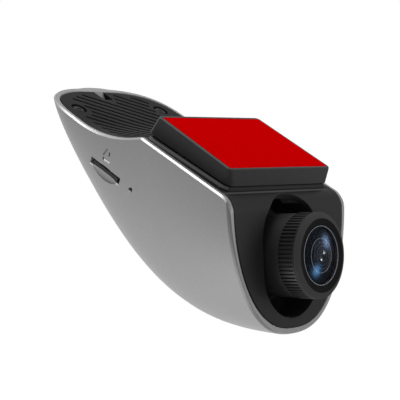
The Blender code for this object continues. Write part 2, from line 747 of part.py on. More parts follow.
def make_top_cover():
    """Black cover: bent sheet with a grooved deck, a raised seat and posts for the board."""
    start_y = PANEL_SPLIT_Y + GAP
    profile = [point for point in extended(rim_profile(), TAIL_Y) if point[0] > start_y]
    upper = [(y, z - COVER_DROP) for y, z in [(start_y, ramp_height(start_y))] + profile[1:]]
    lower = [(y, z - COVER_WALL) for y, z in upper]
    cover = add_part("top_cover", hull_fill(SHELL_WALL + COVER_GAP, start_y), "deck_plastic")
    combine(cover, "INTERSECT", "cover_sheet", across(upper + lower[::-1]))
    base_frame, length = plate_base_frame()
    half = 0.5 * PAD_FRONT_WIDTH + PLATE_SIDE_FLARE + SEAT_MARGIN
    levels = [
        (0.0, -SEAT_SHADOW_GAP - SEAT_THICKNESS),
        (0.0, -SEAT_SHADOW_GAP - SEAT_CHAMFER),
        (SEAT_MARGIN, -SEAT_SHADOW_GAP),
    ]
    rings = []
    for inset, height in levels:
        corners = rectangle(inset - half, half - inset, THIN_GAP + inset, length - 4.0 * GAP - inset)
        rings.append([base_frame @ Vector((x, y, height)) for x, y in rounded(corners, PLATE_BASE_CORNER)])
    combine(cover, "UNION", "plate_seat", loft(rings))
    baked(cover)
    relief = slab(slot_outline(-TUNNEL_LIP), -TUNNEL_END_Y, -FRONT_Y + SHELL_OVERRUN, FACE_FRAME)
    combine(cover, "DIFFERENCE", "lens_relief", relief)
    baked(cover)
    middle = [(y, z - 0.5 * COVER_WALL) for y, z in upper]
    under_deck = across(middle + [(TAIL_Y, KEEL_Z), (start_y, KEEL_Z)])
    for i, (x, y) in enumerate(board_post_places(), start=1):
        low = BOARD_TOP + THIN_GAP
        post = disc(BOARD_POST_RADIUS, low, 4.0 * SHELL_OVERRUN, tilted_at(x, y))
        combine(cover, "UNION", f"board_post_{i}", kept_within(post, under_deck, f"board_post_blank_{i}"))
        bore = disc(BOARD_POST_BORE, 0.0, BOARD_SCREW_TIP, tilted_at(x, y, BOARD_TOP), 12)
        combine(cover, "DIFFERENCE", f"board_post_bore_{i}", bore)
    baked(cover)
    combine(cover, "DIFFERENCE", "deck_grooves", groove_bars())
    for side, name in SIDES:
        well = disc(SCREW_WELL_RADIUS, -SCREW_WELL_DEPTH, SHELL_OVERRUN, well_frame(side))
        combine(cover, "DIFFERENCE", f"screw_well_{name}", well)
        hole = disc(SCREW_HOLE_RADIUS, -SHELL_OVERRUN, SHELL_OVERRUN, well_frame(side), 12)
        combine(cover, "DIFFERENCE", f"screw_hole_{name}", hole)
    combine(cover, "DIFFERENCE", "cable_notch", notch_cutter())
    return baked(cover)


def lens_frame(h=0.0):
    """Frame whose +Z runs forward along the lens, at a distance ahead of the tilt axis."""
    return LENS_FRAME @ Matrix.Translation((0.0, 0.0, h))


def ball_points(radius, start_h, end_h, steps):
    """Sphere's outline as (radius, height), between two heights along the lens axis."""
    first = math.asin(start_h / radius)
    last = math.asin(end_h / radius)
    turns = [first + (last - first) * i / steps for i in range(steps + 1)]
    return [(radius * math.cos(turn), radius * math.sin(turn)) for turn in turns]


def make_turret():
    """Ball with a neck for the lens and two trunnions on the tilt axis."""
    shoulder = math.sqrt(BALL_RADIUS ** 2 - NECK_RADIUS ** 2)
    inner_radius = BALL_RADIUS - BALL_WALL
    inner_shoulder = math.sqrt(inner_radius ** 2 - NECK_BORE ** 2)
    profile = [(NECK_RADIUS, NECK_FRONT)]
    profile += ball_points(BALL_RADIUS, shoulder, BALL_BACK, 8)
    profile += ball_points(inner_radius, BALL_BACK, inner_shoulder, 6)
    profile += [(NECK_BORE, NECK_FRONT)]
    turret = add_part("lens_turret", turned(profile, lens_frame()), "lens_black")
    for side, name in SIDES:
        inner, outer = sorted((side * (BALL_RADIUS - 1.2 * MM), side * TRUNNION_REACH))
        pin = disc(TRUNNION_RADIUS, inner, outer, ACROSS_FRAME)
        combine(turret, "UNION", f"trunnion_{name}", pin)
        bore_ends = sorted((side * (BALL_RADIUS + 0.2 * MM), side * 2.0 * TRUNNION_REACH))
        bore = disc(0.85 * MM, *bore_ends, ACROSS_FRAME, 12)
        combine(turret, "DIFFERENCE", f"trunnion_bore_{name}", bore)
    return baked(turret)


def make_knurled_ring():
    """Grip ring with straight ribs, drawn as one toothed outline."""
    ribs = []
    pitch = 2.0 * math.pi / KNURL_COUNT
    for i in range(KNURL_COUNT):
        for share, radius in ((0.0, KNURL_RADIUS), (0.45, KNURL_RADIUS),
                              (0.55, KNURL_RADIUS - KNURL_DEPTH), (0.9, KNURL_RADIUS - KNURL_DEPTH)):
            angle = (i + share) * pitch
            ribs.append((radius * math.cos(angle), radius * math.sin(angle)))
    ring = add_part("knurled_ring", slab(ribs, KNURL_BACK, KNURL_FRONT, lens_frame()), "lens_black")
    bore = disc(NECK_BORE, KNURL_BACK - MM, KNURL_FRONT + MM, lens_frame(), ROUND_STEPS)
    combine(ring, "DIFFERENCE", "knurl_bore", bore)
    return baked(ring)


def make_lens_stack():
    """Bezel, barrel with its stepped bore, three glass elements and the spacers between them."""
    bezel = [
        (KNURL_RADIUS, BEZEL_EDGE),
        (KNURL_RADIUS, BEZEL_STEP),
        (NECK_BORE - THIN_GAP, BEZEL_STEP),
        (NECK_BORE - THIN_GAP, BEZEL_BACK),
        (GLASS_RADIUS + THIN_GAP, BEZEL_BACK + 0.6 * MM),
        (GLASS_RADIUS + THIN_GAP, BEZEL_FRONT - 0.5 * MM),
        (BEZEL_INNER, BEZEL_FRONT),
    ]
    add_part("lens_bezel", turned(bezel, lens_frame()), "lens_black")
    barrel = [
        (BARREL_RADIUS, 27.0 * MM),
        (BARREL_RADIUS, 4.0 * MM),
        (4.6 * MM, 4.0 * MM),
        (4.6 * MM, 15.0 * MM),
        (6.2 * MM, 15.0 * MM),
        (6.2 * MM, 22.0 * MM),
        (9.0 * MM, 22.0 * MM),
        (9.0 * MM, 27.0 * MM),
    ]
    add_part("lens_barrel", turned(barrel, lens_frame()), "lens_black")
    edge = BEZEL_FRONT - 0.3 * MM
    dome = [(radius, edge + rise) for radius, rise in dome_points(GLASS_RADIUS, DOME_RADIUS, 7)]
    hollow = [(radius, height - GLASS_WALL) for radius, height in reversed(dome)]
    add_part("front_glass", turned(dome + hollow, lens_frame()), "glass")
    spacer = [
        (GLASS_RADIUS - THIN_GAP, edge - GLASS_WALL - THIN_GAP),
        (GLASS_RADIUS - THIN_GAP, 26.0 * MM),
        (INNER_GLASS_RADIUS + THIN_GAP, 26.0 * MM),
        (INNER_GLASS_RADIUS + THIN_GAP, edge),
    ]
    add_part("lens_spacer", turned(spacer, lens_frame()), "lens_black")
    middle = [
        (0.0, edge + 0.45 * MM),
        (2.6 * MM, edge + 0.34 * MM),
        (INNER_GLASS_RADIUS, edge + 0.05 * MM),
        (INNER_GLASS_RADIUS, 27.4 * MM),
        (0.0, 27.0 * MM),
    ]
    add_part("middle_glass", turned(middle, lens_frame(), 32), "glass")
    rear = [
        (0.0, 14.2 * MM),
        (2.6 * MM, 13.9 * MM),
        (4.4 * MM, 13.0 * MM),
        (4.4 * MM, 11.4 * MM),
        (0.0, 10.8 * MM),
    ]
    add_part("rear_glass", turned(rear, lens_frame(), 32), "glass")


def dome_points(radius, sphere, steps):
    """Cap of a sphere as (radius, rise above its edge), from the middle outwards."""
    edge = math.sqrt(sphere ** 2 - radius ** 2)
    reach = [radius * i / steps for i in range(steps + 1)]
    return [(r, math.sqrt(sphere ** 2 - r ** 2) - edge) for r in reach]


def make_sensor():
    """Sensor and its board on the back of the lens barrel."""
    chip = box((-4 * MM, 4 * MM), (-3.5 * MM, 3.5 * MM), (2.3 * MM, 3.7 * MM), lens_frame())
    add_part("image_sensor", chip, "chip_black")
    board = rounded(rectangle(-9 * MM, 9 * MM, -9 * MM, 9 * MM), 1.2 * MM)
    plate = add_part("sensor_board", slab(board, 1.0 * MM, 2.0 * MM, lens_frame()), "circuit_board")
    for side, name in SIDES:
        place = lens_frame() @ Matrix.Translation((side * 7.2 * MM, side * 5.0 * MM, 0.0))
        combine(plate, "DIFFERENCE", f"sensor_hole_{name}", disc(0.9 * MM, 0.0, 3 * MM, place, 12))
        thread = screw(place, 0.8 * MM, 1.5 * MM, 0.7 * MM, 1.0 * MM - THIN_GAP, 3.6 * MM)
        add_part(f"sensor_screw_{name}", thread, "bare_steel")
    baked(plate)


def screw(frame, head_height, head_radius, shank_radius, seat, tip):
    """Pan-head screw along its frame: head behind the seat, shank from the seat to the tip."""
    profile = [
        (0.0, tip),
        (shank_radius, tip),
        (shank_radius, seat + 0.9 * MM),
        (shank_radius, seat),
        (head_radius, seat),
        (head_radius, seat - 0.6 * head_height),
        (0.7 * head_radius, seat - head_height),
        (0.0, seat - head_height),
    ]
    return turned(profile, frame, 12)


def make_pivots():
    """Bearing brackets behind the front panel, friction washers and trunnion screws."""
    front = FRONT_Y + PANEL_WALL + GAP - PIVOT_Y
    outline = rounded(rectangle(front, 4.0 * MM, -3.6 * MM, 4.6 * MM), 1.5 * MM)
    for side, name in SIDES:
        near, far = sorted((side * BRACKET_NEAR_X, side * BRACKET_FAR_X))
        bracket = add_part(f"pivot_bracket_{name}", slab(outline, near, far, SIDE_FRAME), "black_plastic")
        hole = disc(TRUNNION_RADIUS + THIN_GAP, near - MM, far + MM, ACROSS_FRAME)
        combine(bracket, "DIFFERENCE", f"bearing_hole_{name}", hole)
        baked(bracket)
        washer = [(4.2 * MM, 0.1 * MM), (4.2 * MM, -0.1 * MM), (2.15 * MM, -0.1 * MM), (2.15 * MM, 0.1 * MM)]
        place = Matrix.Translation((side * WASHER_X, 0.0, 0.0)) @ ACROSS_FRAME
        add_part(f"friction_washer_{name}", turned(washer, place, SMALL_ROUND_STEPS), "bare_steel")
        inwards = Matrix.Rotation(-side * math.radians(90.0), 4, "Y")
        end = Matrix.Translation((side * (TRUNNION_REACH + THIN_GAP), 0.0, 0.0)) @ inwards
        thread = screw(end, 0.6 * MM, 2.4 * MM, 0.75 * MM, 0.0, 2.0 * MM)
        add_part(f"pivot_screw_{name}", thread, "bare_steel")


def make_card_reader():
    """Memory card in its metal connector, on the left edge of the main board."""
    half = 0.5 * CARD_WIDTH
    x_in = CARD_OUTER_X + CARD_LENGTH
    card_outline = [
        (CARD_OUTER_X, -half),
        (x_in, -half),
        (x_in, half - 1.3 * MM),
        (x_in - 6.4 * MM, half - 1.3 * MM),
        (x_in - 7.7 * MM, half),
        (CARD_OUTER_X, half),
    ]
    thick = 0.5 * CARD_THICKNESS
    card = add_part("memory_card", slab(card_outline, -thick, thick, GLASS_FRAME), "card_black")
    lip_ends = (CARD_OUTER_X, CARD_OUTER_X + CARD_LIP_LENGTH)
    lip = box(lip_ends, (-half, half), (thick - CARD_LIP_THICKNESS, thick), GLASS_FRAME)
    combine(card, "UNION", "card_lip", lip)
    baked(card)
    card.location = (0.0, BOARD_Y, BOARD_Z)
    case = box((-23.4 * MM, -9.4 * MM), (-7 * MM, 7 * MM), (BOARD_TOP + THIN_GAP, 0.95 * MM), BOARD_FRAME)
    connector = add_part("card_connector", case, "bare_steel")
    mouth_half = half + 2.0 * THIN_GAP
    mouth_height = thick + THIN_GAP
    mouth_ends = (-30 * MM, x_in + CARD_OVERTRAVEL)
    mouth = box(mouth_ends, (-mouth_half, mouth_half), (-mouth_height, mouth_height), BOARD_FRAME)
    combine(connector, "DIFFERENCE", "card_mouth", mouth)
    return baked(connector)


def make_main_board():
    """Main board under the deck, hung on the cover's posts, with what it carries."""
    outline = [
        (-18.5 * MM, -17 * MM),
        (22 * MM, -17 * MM),
        (21 * MM, 15 * MM),
        (-20.5 * MM, 15 * MM),
        (-22.5 * MM, 7 * MM),
        (-22.5 * MM, -8 * MM),
        (-18.5 * MM, -9 * MM),
    ]
    low = BOARD_TOP - BOARD_THICKNESS
    board = add_part("main_board", slab(outline, low, BOARD_TOP, BOARD_FRAME), "circuit_board")
    for i, (x, y) in enumerate(board_post_places(), start=1):
        place = tilted_at(x, y)
        combine(board, "DIFFERENCE", f"board_hole_{i}", disc(1.0 * MM, low - MM, BOARD_TOP + MM, place, 12))
        tip = BOARD_TOP + BOARD_SCREW_TIP - GAP
        thread = screw(place, 0.9 * MM, 1.7 * MM, 0.75 * MM, low - THIN_GAP, tip)
        add_part(f"board_screw_{i}", thread, "bare_steel")
    baked(board)
    on_board("processor", (-1 * MM, 11 * MM), (-7 * MM, 5 * MM), (0.0, 1.2 * MM), "chip_black")
    on_board("thermal_pad", (-2 * MM, 12 * MM), (-8 * MM, 6 * MM), (1.3 * MM, 2.5 * MM), "silicone_grey")
    on_board("memory_chip", (13.4 * MM, 20.4 * MM), (-7 * MM, 3 * MM), (0.0, 1.0 * MM), "chip_black")
    on_board("radio_module", (5 * MM, 15 * MM), (7.5 * MM, 14 * MM), (0.0, 1.8 * MM), "bare_steel")
    header = on_board("power_header", (-3 * MM, 3 * MM), (8 * MM, 14.5 * MM), (0.0, 3.2 * MM), "card_black")
    bottom = BOARD_TOP + 0.7 * MM
    socket = box((-2.2 * MM, 2.2 * MM), (10 * MM, 16 * MM), (bottom, bottom + 2.0 * MM), BOARD_FRAME)
    combine(header, "DIFFERENCE", "header_socket", socket)
    baked(header)
    cell = tilted_at(0.0, -2.0 * MM, low - 4.4 * MM) @ ACROSS_FRAME
    add_part("backup_capacitor", disc(4.0 * MM, -9 * MM, 9 * MM, cell), "silver_paint")


def on_board(name, x_range, y_range, heights, material):
    """Box-shaped component that stands on the main board."""
    low = BOARD_TOP + THIN_GAP
    z_range = (low + heights[0], low + heights[1])
    return add_part(name, box(x_range, y_range, z_range, BOARD_FRAME), material)


def make_microphone():
    """Microphone capsule and the rubber boot that seals it to the pinhole."""
    place = Matrix.Translation((0.0, PINHOLE_Y, PINHOLE_Z)) @ ACROSS_FRAME
    add_part("microphone", disc(2.0 * MM, -21.6 * MM, -20.0 * MM, place), "bare_steel")
    boot = [(2.2 * MM, -21.7 * MM), (2.2 * MM, -23.2 * MM), (0.7 * MM, -23.2 * MM), (0.7 * MM, -21.7 * MM)]
    add_part("microphone_boot", turned(boot, place, SMALL_ROUND_STEPS), "rubber")


def make_deck_screws():
    """Two screws in the deck's wells."""
    for side, name in SIDES:
        frame = well_frame(side) @ Matrix.Rotation(math.pi, 4, "X")
        thread = screw(frame, 0.8 * MM, 1.9 * MM, 0.8 * MM, SCREW_WELL_DEPTH - THIN_GAP, DECK_SCREW_TIP)
        add_part(f"deck_screw_{name}", thread, "bare_steel")


def hang_on_pivot(names):
    """Parent the moving pieces to an empty on the tilt axis; their meshes are made about it."""
    pivot = bpy.data.objects.new("tilt_axis", None)
    pivot.location = (0.0, PIVOT_Y, LENS_Z)
    PARTS.objects.link(pivot)
    for name in names:
        bpy.data.objects[name].parent = pivot
    return pivot


def stand_on_pivot(names):
    """Place the fixed pieces whose meshes are made about the tilt axis."""
    for name in names:
        bpy.data.objects[name].location = (0.0, PIVOT_Y, LENS_Z)


clear_scene()
PARTS = new_collection(OBJECT_NAME)
CUTTERS = new_collection("cutters")

make_shell()
make_front_panel()
make_adhesive()
make_mounting_plate()
make_top_cover()
make_turret()
make_knurled_ring()
make_lens_stack()
make_sensor()
make_pivots()
make_card_reader()
make_main_board()
make_microphone()
make_deck_screws()
hang_on_pivot([
    "lens_turret", "knurled_ring", "lens_bezel", "lens_barrel", "front_glass", "lens_spacer", "middle_glass",
    "rear_glass", "image_sensor", "sensor_board", "sensor_screw_left", "sensor_screw_right",
    "pivot_screw_left", "pivot_screw_right",
])
stand_on_pivot([
    "friction_washer_left", "friction_washer_right", "pivot_bracket_left", "pivot_bracket_right",
])
for piece in PARTS.objects:
    if piece.type == "MESH":
        piece.data.shade_smooth()
        piece.data.set_sharp_from_angle(angle=math.radians(35.0))
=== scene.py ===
# %% [markdown]
# # A windscreen dash camera, piece by piece
# The camera hangs from the windscreen by an adhesive pad: a silver boat-shaped shell, a black
# front with a tilting lens, and a grooved black deck behind the pad. This notebook dresses the
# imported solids: each visible piece is worked out again as a finer surface with numpy, and every
# finish is a procedural material.

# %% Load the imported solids
import math

import bmesh
import bpy
import numpy as np
from mathutils import Matrix, Vector


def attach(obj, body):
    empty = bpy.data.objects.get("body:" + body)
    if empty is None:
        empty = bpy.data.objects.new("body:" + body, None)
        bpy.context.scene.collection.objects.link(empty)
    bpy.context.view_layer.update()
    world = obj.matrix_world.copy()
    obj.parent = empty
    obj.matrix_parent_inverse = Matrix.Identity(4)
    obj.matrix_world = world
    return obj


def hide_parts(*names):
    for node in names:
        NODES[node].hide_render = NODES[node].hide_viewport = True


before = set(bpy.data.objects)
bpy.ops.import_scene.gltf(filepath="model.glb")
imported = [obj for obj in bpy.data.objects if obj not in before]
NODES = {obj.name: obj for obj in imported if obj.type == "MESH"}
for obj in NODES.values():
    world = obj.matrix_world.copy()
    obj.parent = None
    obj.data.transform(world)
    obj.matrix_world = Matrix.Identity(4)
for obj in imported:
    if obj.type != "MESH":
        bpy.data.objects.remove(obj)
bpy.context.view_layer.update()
MM = 0.001


# %% [markdown]
# ## The camera
# The photograph was taken from the left of the lens, almost level with the object. The viewing
# direction and the small roll were found by fitting the outline, so they are written as angles,
# and the lens is long because the perspective in the photograph is mild.

# %% Camera at the photograph's viewing angle
VIEW_AZIMUTH = math.radians(-50.8)
VIEW_ELEVATION = math.radians(0.74)
VIEW_ROLL = math.radians(-1.82)
VIEW_TARGET = Vector((0.0, 17.91, -16.62)) * MM
VIEW_DISTANCE = 450.0 * MM
LENS_LENGTH = 135.0
SENSOR_WIDTH = 36.0


def photograph_camera():
    """Camera that looks at the target along the fitted direction, turned by the fitted roll."""
    level = math.cos(VIEW_ELEVATION)
    back = Vector((
        math.sin(VIEW_AZIMUTH) * level,
        -math.cos(VIEW_AZIMUTH) * level,
        math.sin(VIEW_ELEVATION),
    ))
    right = Vector((math.cos(VIEW_AZIMUTH), math.sin(VIEW_AZIMUTH), 0.0))
    up = back.cross(right)
    rolled_right = math.cos(VIEW_ROLL) * right + math.sin(VIEW_ROLL) * up
    rolled_up = -math.sin(VIEW_ROLL) * right + math.cos(VIEW_ROLL) * up
    data = bpy.data.cameras.new("photo_camera")
    data.lens = LENS_LENGTH
    data.sensor_width = SENSOR_WIDTH
    data.clip_start = 0.01
    data.clip_end = 20.0
    camera = bpy.data.objects.new("photo_camera", data)
    bpy.context.scene.collection.objects.link(camera)
    turn = Matrix((rolled_right, rolled_up, back)).transposed()
    camera.matrix_world = Matrix.Translation(VIEW_TARGET + back * VIEW_DISTANCE) @ turn.to_4x4()
    bpy.context.scene.camera = camera
    return camera


print("camera at", [round(v, 3) for v in photograph_camera().location])

# %% [markdown]
# ## Shader nodes
# Light, floor and finishes are all small trees of shader nodes. They could be wired by hand in the
# shader editor, but a script can be read and run again. One helper adds a node, and another sets
# its inputs or links them. A third tells rays that look at a thing from rays that light it.

# %% Helpers for shader nodes
SEEING_RAYS = ("Is Camera Ray", "Is Glossy Ray", "Is Transmission Ray")


def feed(tree, node, inputs):
    """Give a node's inputs their values; a value that is a socket is linked."""
    for label, value in inputs.items():
        if isinstance(value, bpy.types.NodeSocket):
            tree.links.new(value, node.inputs[label])
        else:
            node.inputs[label].default_value = value


def add_node(tree, kind, inputs=None, **settings):
    """New shader node with its settings and inputs."""
    made = tree.nodes.new("ShaderNode" + kind)
    for setting, value in settings.items():
        setattr(made, setting, value)
    feed(tree, made, inputs or {})
    return made


def seen_rays(tree):
    """Socket that is 1 for rays from the camera, mirrors and glass, and 0 for other light."""
    path = add_node(tree, "LightPath")
    seen = path.outputs[SEEING_RAYS[0]]
    for ray in SEEING_RAYS[1:]:
        larger = add_node(tree, "Math", {0: seen, 1: path.outputs[ray]}, operation="MAXIMUM")
        seen = larger.outputs["Value"]
    return seen


print("rays that look:", SEEING_RAYS)

# %% [markdown]
# ## Light, floor and background
# The object floats on plain white in the photograph. A white world lights it from all round. The
# floor is a pale plane well below the object, as under a thing that hangs on a windscreen. Stronger
# lamps could wash the background white, but they would wash out the object too. So camera, mirror
# and glass rays see world and floor almost white, and only the light on the object stays dim.

# %% White world and pale floor
WORLD_LIGHT = 0.35
FLOOR_Z = -0.6
FLOOR_HALF = 4.0
FLOOR_WHITENESS = 0.92
FLOOR_GLOW = 1.09
FLOOR_COLOUR = (0.86, 0.86, 0.86, 1.0)
FLOOR_ROUGHNESS = 0.9


def joined(*parts):
    """Coordinates side by side, as an array of points."""
    return np.stack(np.broadcast_arrays(*parts), axis=-1)


def white_world():
    """World that is white to the camera, mirrors and glass, and dimmer as a light source."""
    world = bpy.data.worlds.new("studio_white")
    world.use_nodes = True
    tree = world.node_tree
    limits = {"Value": seen_rays(tree), "To Min": WORLD_LIGHT, "To Max": 1.0}
    strength = add_node(tree, "MapRange", limits).outputs["Result"]
    feed(tree, tree.nodes["Background"], {"Color": (1.0, 1.0, 1.0, 1.0), "Strength": strength})
    bpy.context.scene.world = world


def pale_floor():
    """Wide plane whose camera-visible colour is nearly white and keeps a faint shadow."""
    reach = np.array([-FLOOR_HALF, FLOOR_HALF])
    x, y = np.meshgrid(reach, reach, indexing="ij")
    mesh = bpy.data.meshes.new("floor")
    mesh.from_pydata(joined(x, y, FLOOR_Z).reshape(-1, 3).tolist(), [], [(0, 2, 3, 1)])
    floor = bpy.data.objects.new("floor", mesh)
    bpy.context.scene.collection.objects.link(floor)
    material = bpy.data.materials.new("floor_white")
    material.use_nodes = True
    tree = material.node_tree
    matt = tree.nodes["Principled BSDF"]
    feed(tree, matt, {"Base Color": FLOOR_COLOUR, "Roughness": FLOOR_ROUGHNESS})
    glow = add_node(tree, "Emission", {"Strength": FLOOR_GLOW})
    whiteness = {0: seen_rays(tree), 1: FLOOR_WHITENESS}
    share = add_node(tree, "Math", whiteness, operation="MULTIPLY").outputs["Value"]
    sides = {"Fac": share, 1: matt.outputs["BSDF"], 2: glow.outputs["Emission"]}
    mix = add_node(tree, "MixShader", sides)
    feed(tree, tree.nodes["Material Output"], {"Surface": mix.outputs["Shader"]})
    mesh.materials.append(material)


bpy.context.scene.view_settings.view_transform = "Standard"
white_world()
pale_floor()
print("world light:", WORLD_LIGHT, "floor at", FLOOR_Z)

# %% [markdown]
# Three soft lamps shade the object: one above, one low on the card side and one in front. The
# coated lens shows two blue glows and two sparks. They could be painted on, but then they would
# stay put when the lens tilts, so they are reflections of four small lamps. Light linking keeps
# the glows on the front element and the sparks on the second one, and the black pieces round the
# lens stay dark.

# %% Lamps


def soft_lamp(name, place, target, size, power):
    """Square area lamp that faces its target."""
    data = bpy.data.lights.new(name, "AREA")
    data.size = size
    data.energy = power
    lamp = bpy.data.objects.new(name, data)
    bpy.context.scene.collection.objects.link(lamp)
    place = Vector(place)
    lamp.location = place
    lamp.rotation_euler = (place - Vector(target)).to_track_quat("Z", "Y").to_euler()
    return lamp


def shine_only_on(lamps, lit_piece):
    """Let lamps light one piece and nothing else."""
    lit = bpy.data.collections.new("lit_by_" + lamps[0].name)
    lit.objects.link(lit_piece)
    for lamp in lamps:
        lamp.light_linking.receiver_collection = lit


OBJECT_MIDDLE = (0.0, 0.02, -0.018)
LENS_FACE = (0.0, -0.026, -0.033)
GLOW_POWER = 8.0
LOW_GLOW_POWER = 12.0
GLOW_SIZE = 0.08
SPARK_POWER = 0.9
LOW_SPARK_POWER = 2.2
SPARK_SIZE = 0.011
soft_lamp("lamp_top", (-0.03, 0.06, 0.5), OBJECT_MIDDLE, 0.25, 1.75)
soft_lamp("lamp_low", (-0.29, 0.19, -0.36), OBJECT_MIDDLE, 0.3, 2.2)
soft_lamp("lamp_front", (0.6, -0.75, 0.1), OBJECT_MIDDLE, 0.5, 3.5)
GLOW_LAMPS = [
    soft_lamp("glow_high", (0.53, -0.30, 0.035), LENS_FACE, GLOW_SIZE, GLOW_POWER),
    soft_lamp("glow_low", (0.39, -0.45, -0.197), LENS_FACE, GLOW_SIZE, LOW_GLOW_POWER),
]
SPARK_LAMPS = [
    soft_lamp("spark_high", (0.515, -0.334, -0.04), LENS_FACE, SPARK_SIZE, SPARK_POWER),
    soft_lamp("spark_low", (0.469, -0.394, -0.103), LENS_FACE, SPARK_SIZE, LOW_SPARK_POWER),
]
print("lamps:", [light.name for light in bpy.data.lights])

# %% [markdown]
# ## From arrays to meshes
# Every surface below is an array of rings of points in millimetres. Meshes could be built point by
# point, but whole arrays are shorter and quicker. One helper turns such an array into quads, closes
# every ring, welds points that coincide, as at a pole, and caps open ends.

# %% Surfaces from arrays
WELD = 1e-7


def full_turn(count):
    """Evenly spaced angles once round, without the last, which is the first again."""
    return np.linspace(0.0, 2.0 * math.pi, count, endpoint=False)


def welded(mesh):
    """Merge coincident points, drop faces without area and turn the faces outwards."""
    work = bmesh.new()
    work.from_mesh(mesh)
    bmesh.ops.remove_doubles(work, verts=work.verts, dist=WELD)
    bmesh.ops.dissolve_degenerate(work, edges=work.edges, dist=WELD)
    bmesh.ops.recalc_face_normals(work, faces=work.faces)
    work.to_mesh(mesh)
    work.free()
    return mesh


def grid_mesh(name, points, wrap_rows=False, caps=False):
    """Quads between neighbouring points of an array of rings; caps close the first and last ring."""
    rows, columns = points.shape[:2]
    index = np.arange(rows * columns).reshape(rows, columns)
    rings = index[[0, -1]]
    if wrap_rows:
        index = np.vstack((index, index[:1]))
    index = np.hstack((index, index[:, :1]))
    corners = (index[:-1, :-1], index[1:, :-1], index[1:, 1:], index[:-1, 1:])
    faces = np.stack(corners, axis=-1).reshape(-1, 4).tolist()
    if caps:
        faces += rings.tolist()
    mesh = bpy.data.meshes.new(name)
    mesh.from_pydata((points.reshape(-1, 3) * MM).tolist(), [], faces)
    return welded(mesh)


print("points closer than", WELD, "m are welded")

# %% [markdown]
# Holes and joins are Boolean steps, made at once and then welded, so that the piece holds its final
# mesh. A finished piece sits at the origin, rides on one of the moving bodies and stands for the
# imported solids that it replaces.

# %% Cutting meshes and making pieces
SHARP_ANGLE = math.radians(32.0)


def carved(mesh, steps):
    """Mesh after a list of (operation, other mesh) Boolean steps."""
    holder = bpy.data.objects.new("carved", mesh)
    bpy.context.scene.collection.objects.link(holder)
    others = []
    for operation, other in steps:
        tool = bpy.data.objects.new("tool", other)
        bpy.context.scene.collection.objects.link(tool)
        modifier = holder.modifiers.new("cut", "BOOLEAN")
        modifier.operation = operation
        modifier.object = tool
        others.append(tool)
    graph = bpy.context.evaluated_depsgraph_get()
    result = bpy.data.meshes.new_from_object(holder.evaluated_get(graph))
    for item in [holder] + others:
        bpy.data.objects.remove(item)
    return welded(result)


def piece(name, mesh, material, body, slot, *nodes):
    """Object at the origin with smooth shading, riding on a body and standing for CAD nodes."""
    mesh.materials.clear()
    mesh.materials.append(material)
    mesh.shade_smooth()
    mesh.set_sharp_from_angle(angle=SHARP_ANGLE)
    made = bpy.data.objects.new(name, mesh)
    bpy.context.scene.collection.objects.link(made)
    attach(made, body)
    if nodes:
        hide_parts(*nodes)
    print(f"{name}: {len(mesh.polygons)} faces")
    return made


print("edges sharper than", round(math.degrees(SHARP_ANGLE)), "degrees stay sharp")

# %% [markdown]
# ## Shared surface effects
# Moulded plastic, sprayed paint and turned parts all show the same two things close up: a fine
# grain that breaks the highlight, and broad, faint patches where hands have touched. Each is a
# shader node group with its own inputs, so that every material can use it at its own scale.

# %% Node groups for grain and handling
WIDE_SHARE = 0.3
NOISE_LIMITS = (0.3, 0.7)


def new_group(name, inputs, outputs):
    """Empty shader group with float inputs, given as name and default, and float outputs."""
    group = bpy.data.node_groups.new(name, "ShaderNodeTree")
    for label, default in inputs:
        socket = group.interface.new_socket(label, in_out="INPUT", socket_type="NodeSocketFloat")
        socket.default_value = default
    for label in outputs:
        group.interface.new_socket(label, in_out="OUTPUT", socket_type="NodeSocketFloat")
    return group, group.nodes.new("NodeGroupInput"), group.nodes.new("NodeGroupOutput")


def fine_grain_group():
    """Grain height: noise in object space, two octaves mixed, between 0 and 1."""
    inputs = [("Scale", 4000.0), ("Coarseness", 0.35)]
    group, given, result = new_group("fine_grain", inputs, ["Height"])
    place = add_node(group, "TexCoord").outputs["Object"]
    scale = given.outputs["Scale"]
    fewer = add_node(group, "Math", {0: scale, 1: WIDE_SHARE}, operation="MULTIPLY").outputs["Value"]
    small = add_node(group, "TexNoise", {"Vector": place, "Scale": scale, "Detail": 3.0})
    wide = add_node(group, "TexNoise", {"Vector": place, "Scale": fewer, "Detail": 1.0})
    mix = add_node(group, "Mix", {
        "Factor": given.outputs["Coarseness"],
        "A": small.outputs["Fac"],
        "B": wide.outputs["Fac"],
    })
    feed(group, result, {"Height": mix.outputs["Result"]})
    return group


def handling_group():
    """Roughness between two limits, following broad soft patches of noise."""
    inputs = [("Patches", 60.0), ("Low", 0.35), ("High", 0.5)]
    group, given, result = new_group("handling", inputs, ["Roughness", "Mask"])
    place = add_node(group, "TexCoord").outputs["Object"]
    patches = {"Vector": place, "Scale": given.outputs["Patches"], "Detail": 4.0}
    mask = add_node(group, "TexNoise", patches).outputs["Fac"]
    spread = add_node(group, "MapRange", {
        "Value": mask,
        "From Min": NOISE_LIMITS[0],
        "From Max": NOISE_LIMITS[1],
        "To Min": given.outputs["Low"],
        "To Max": given.outputs["High"],
    })
    feed(group, result, {"Roughness": spread.outputs["Result"], "Mask": mask})
    return group


FINE_GRAIN = fine_grain_group()
HANDLING = handling_group()
print("groups:", FINE_GRAIN.name, HANDLING.name)

# %% [markdown]
# ## Finishes
# One recipe serves most finishes: two close tones mixed by the grain, roughness from the handling
# patches, and a bump from the grain. Each could have a node tree of its own, but paint, film,
# rubber and steel differ only in their values. The blacks reflect little, because the white
# surroundings would turn them grey.

# %% Materials from one recipe


def base_material(name):
    """New material, its node tree and its shader."""
    material = bpy.data.materials.new(name)
    material.use_nodes = True
    return material, material.node_tree, material.node_tree.nodes["Principled BSDF"]


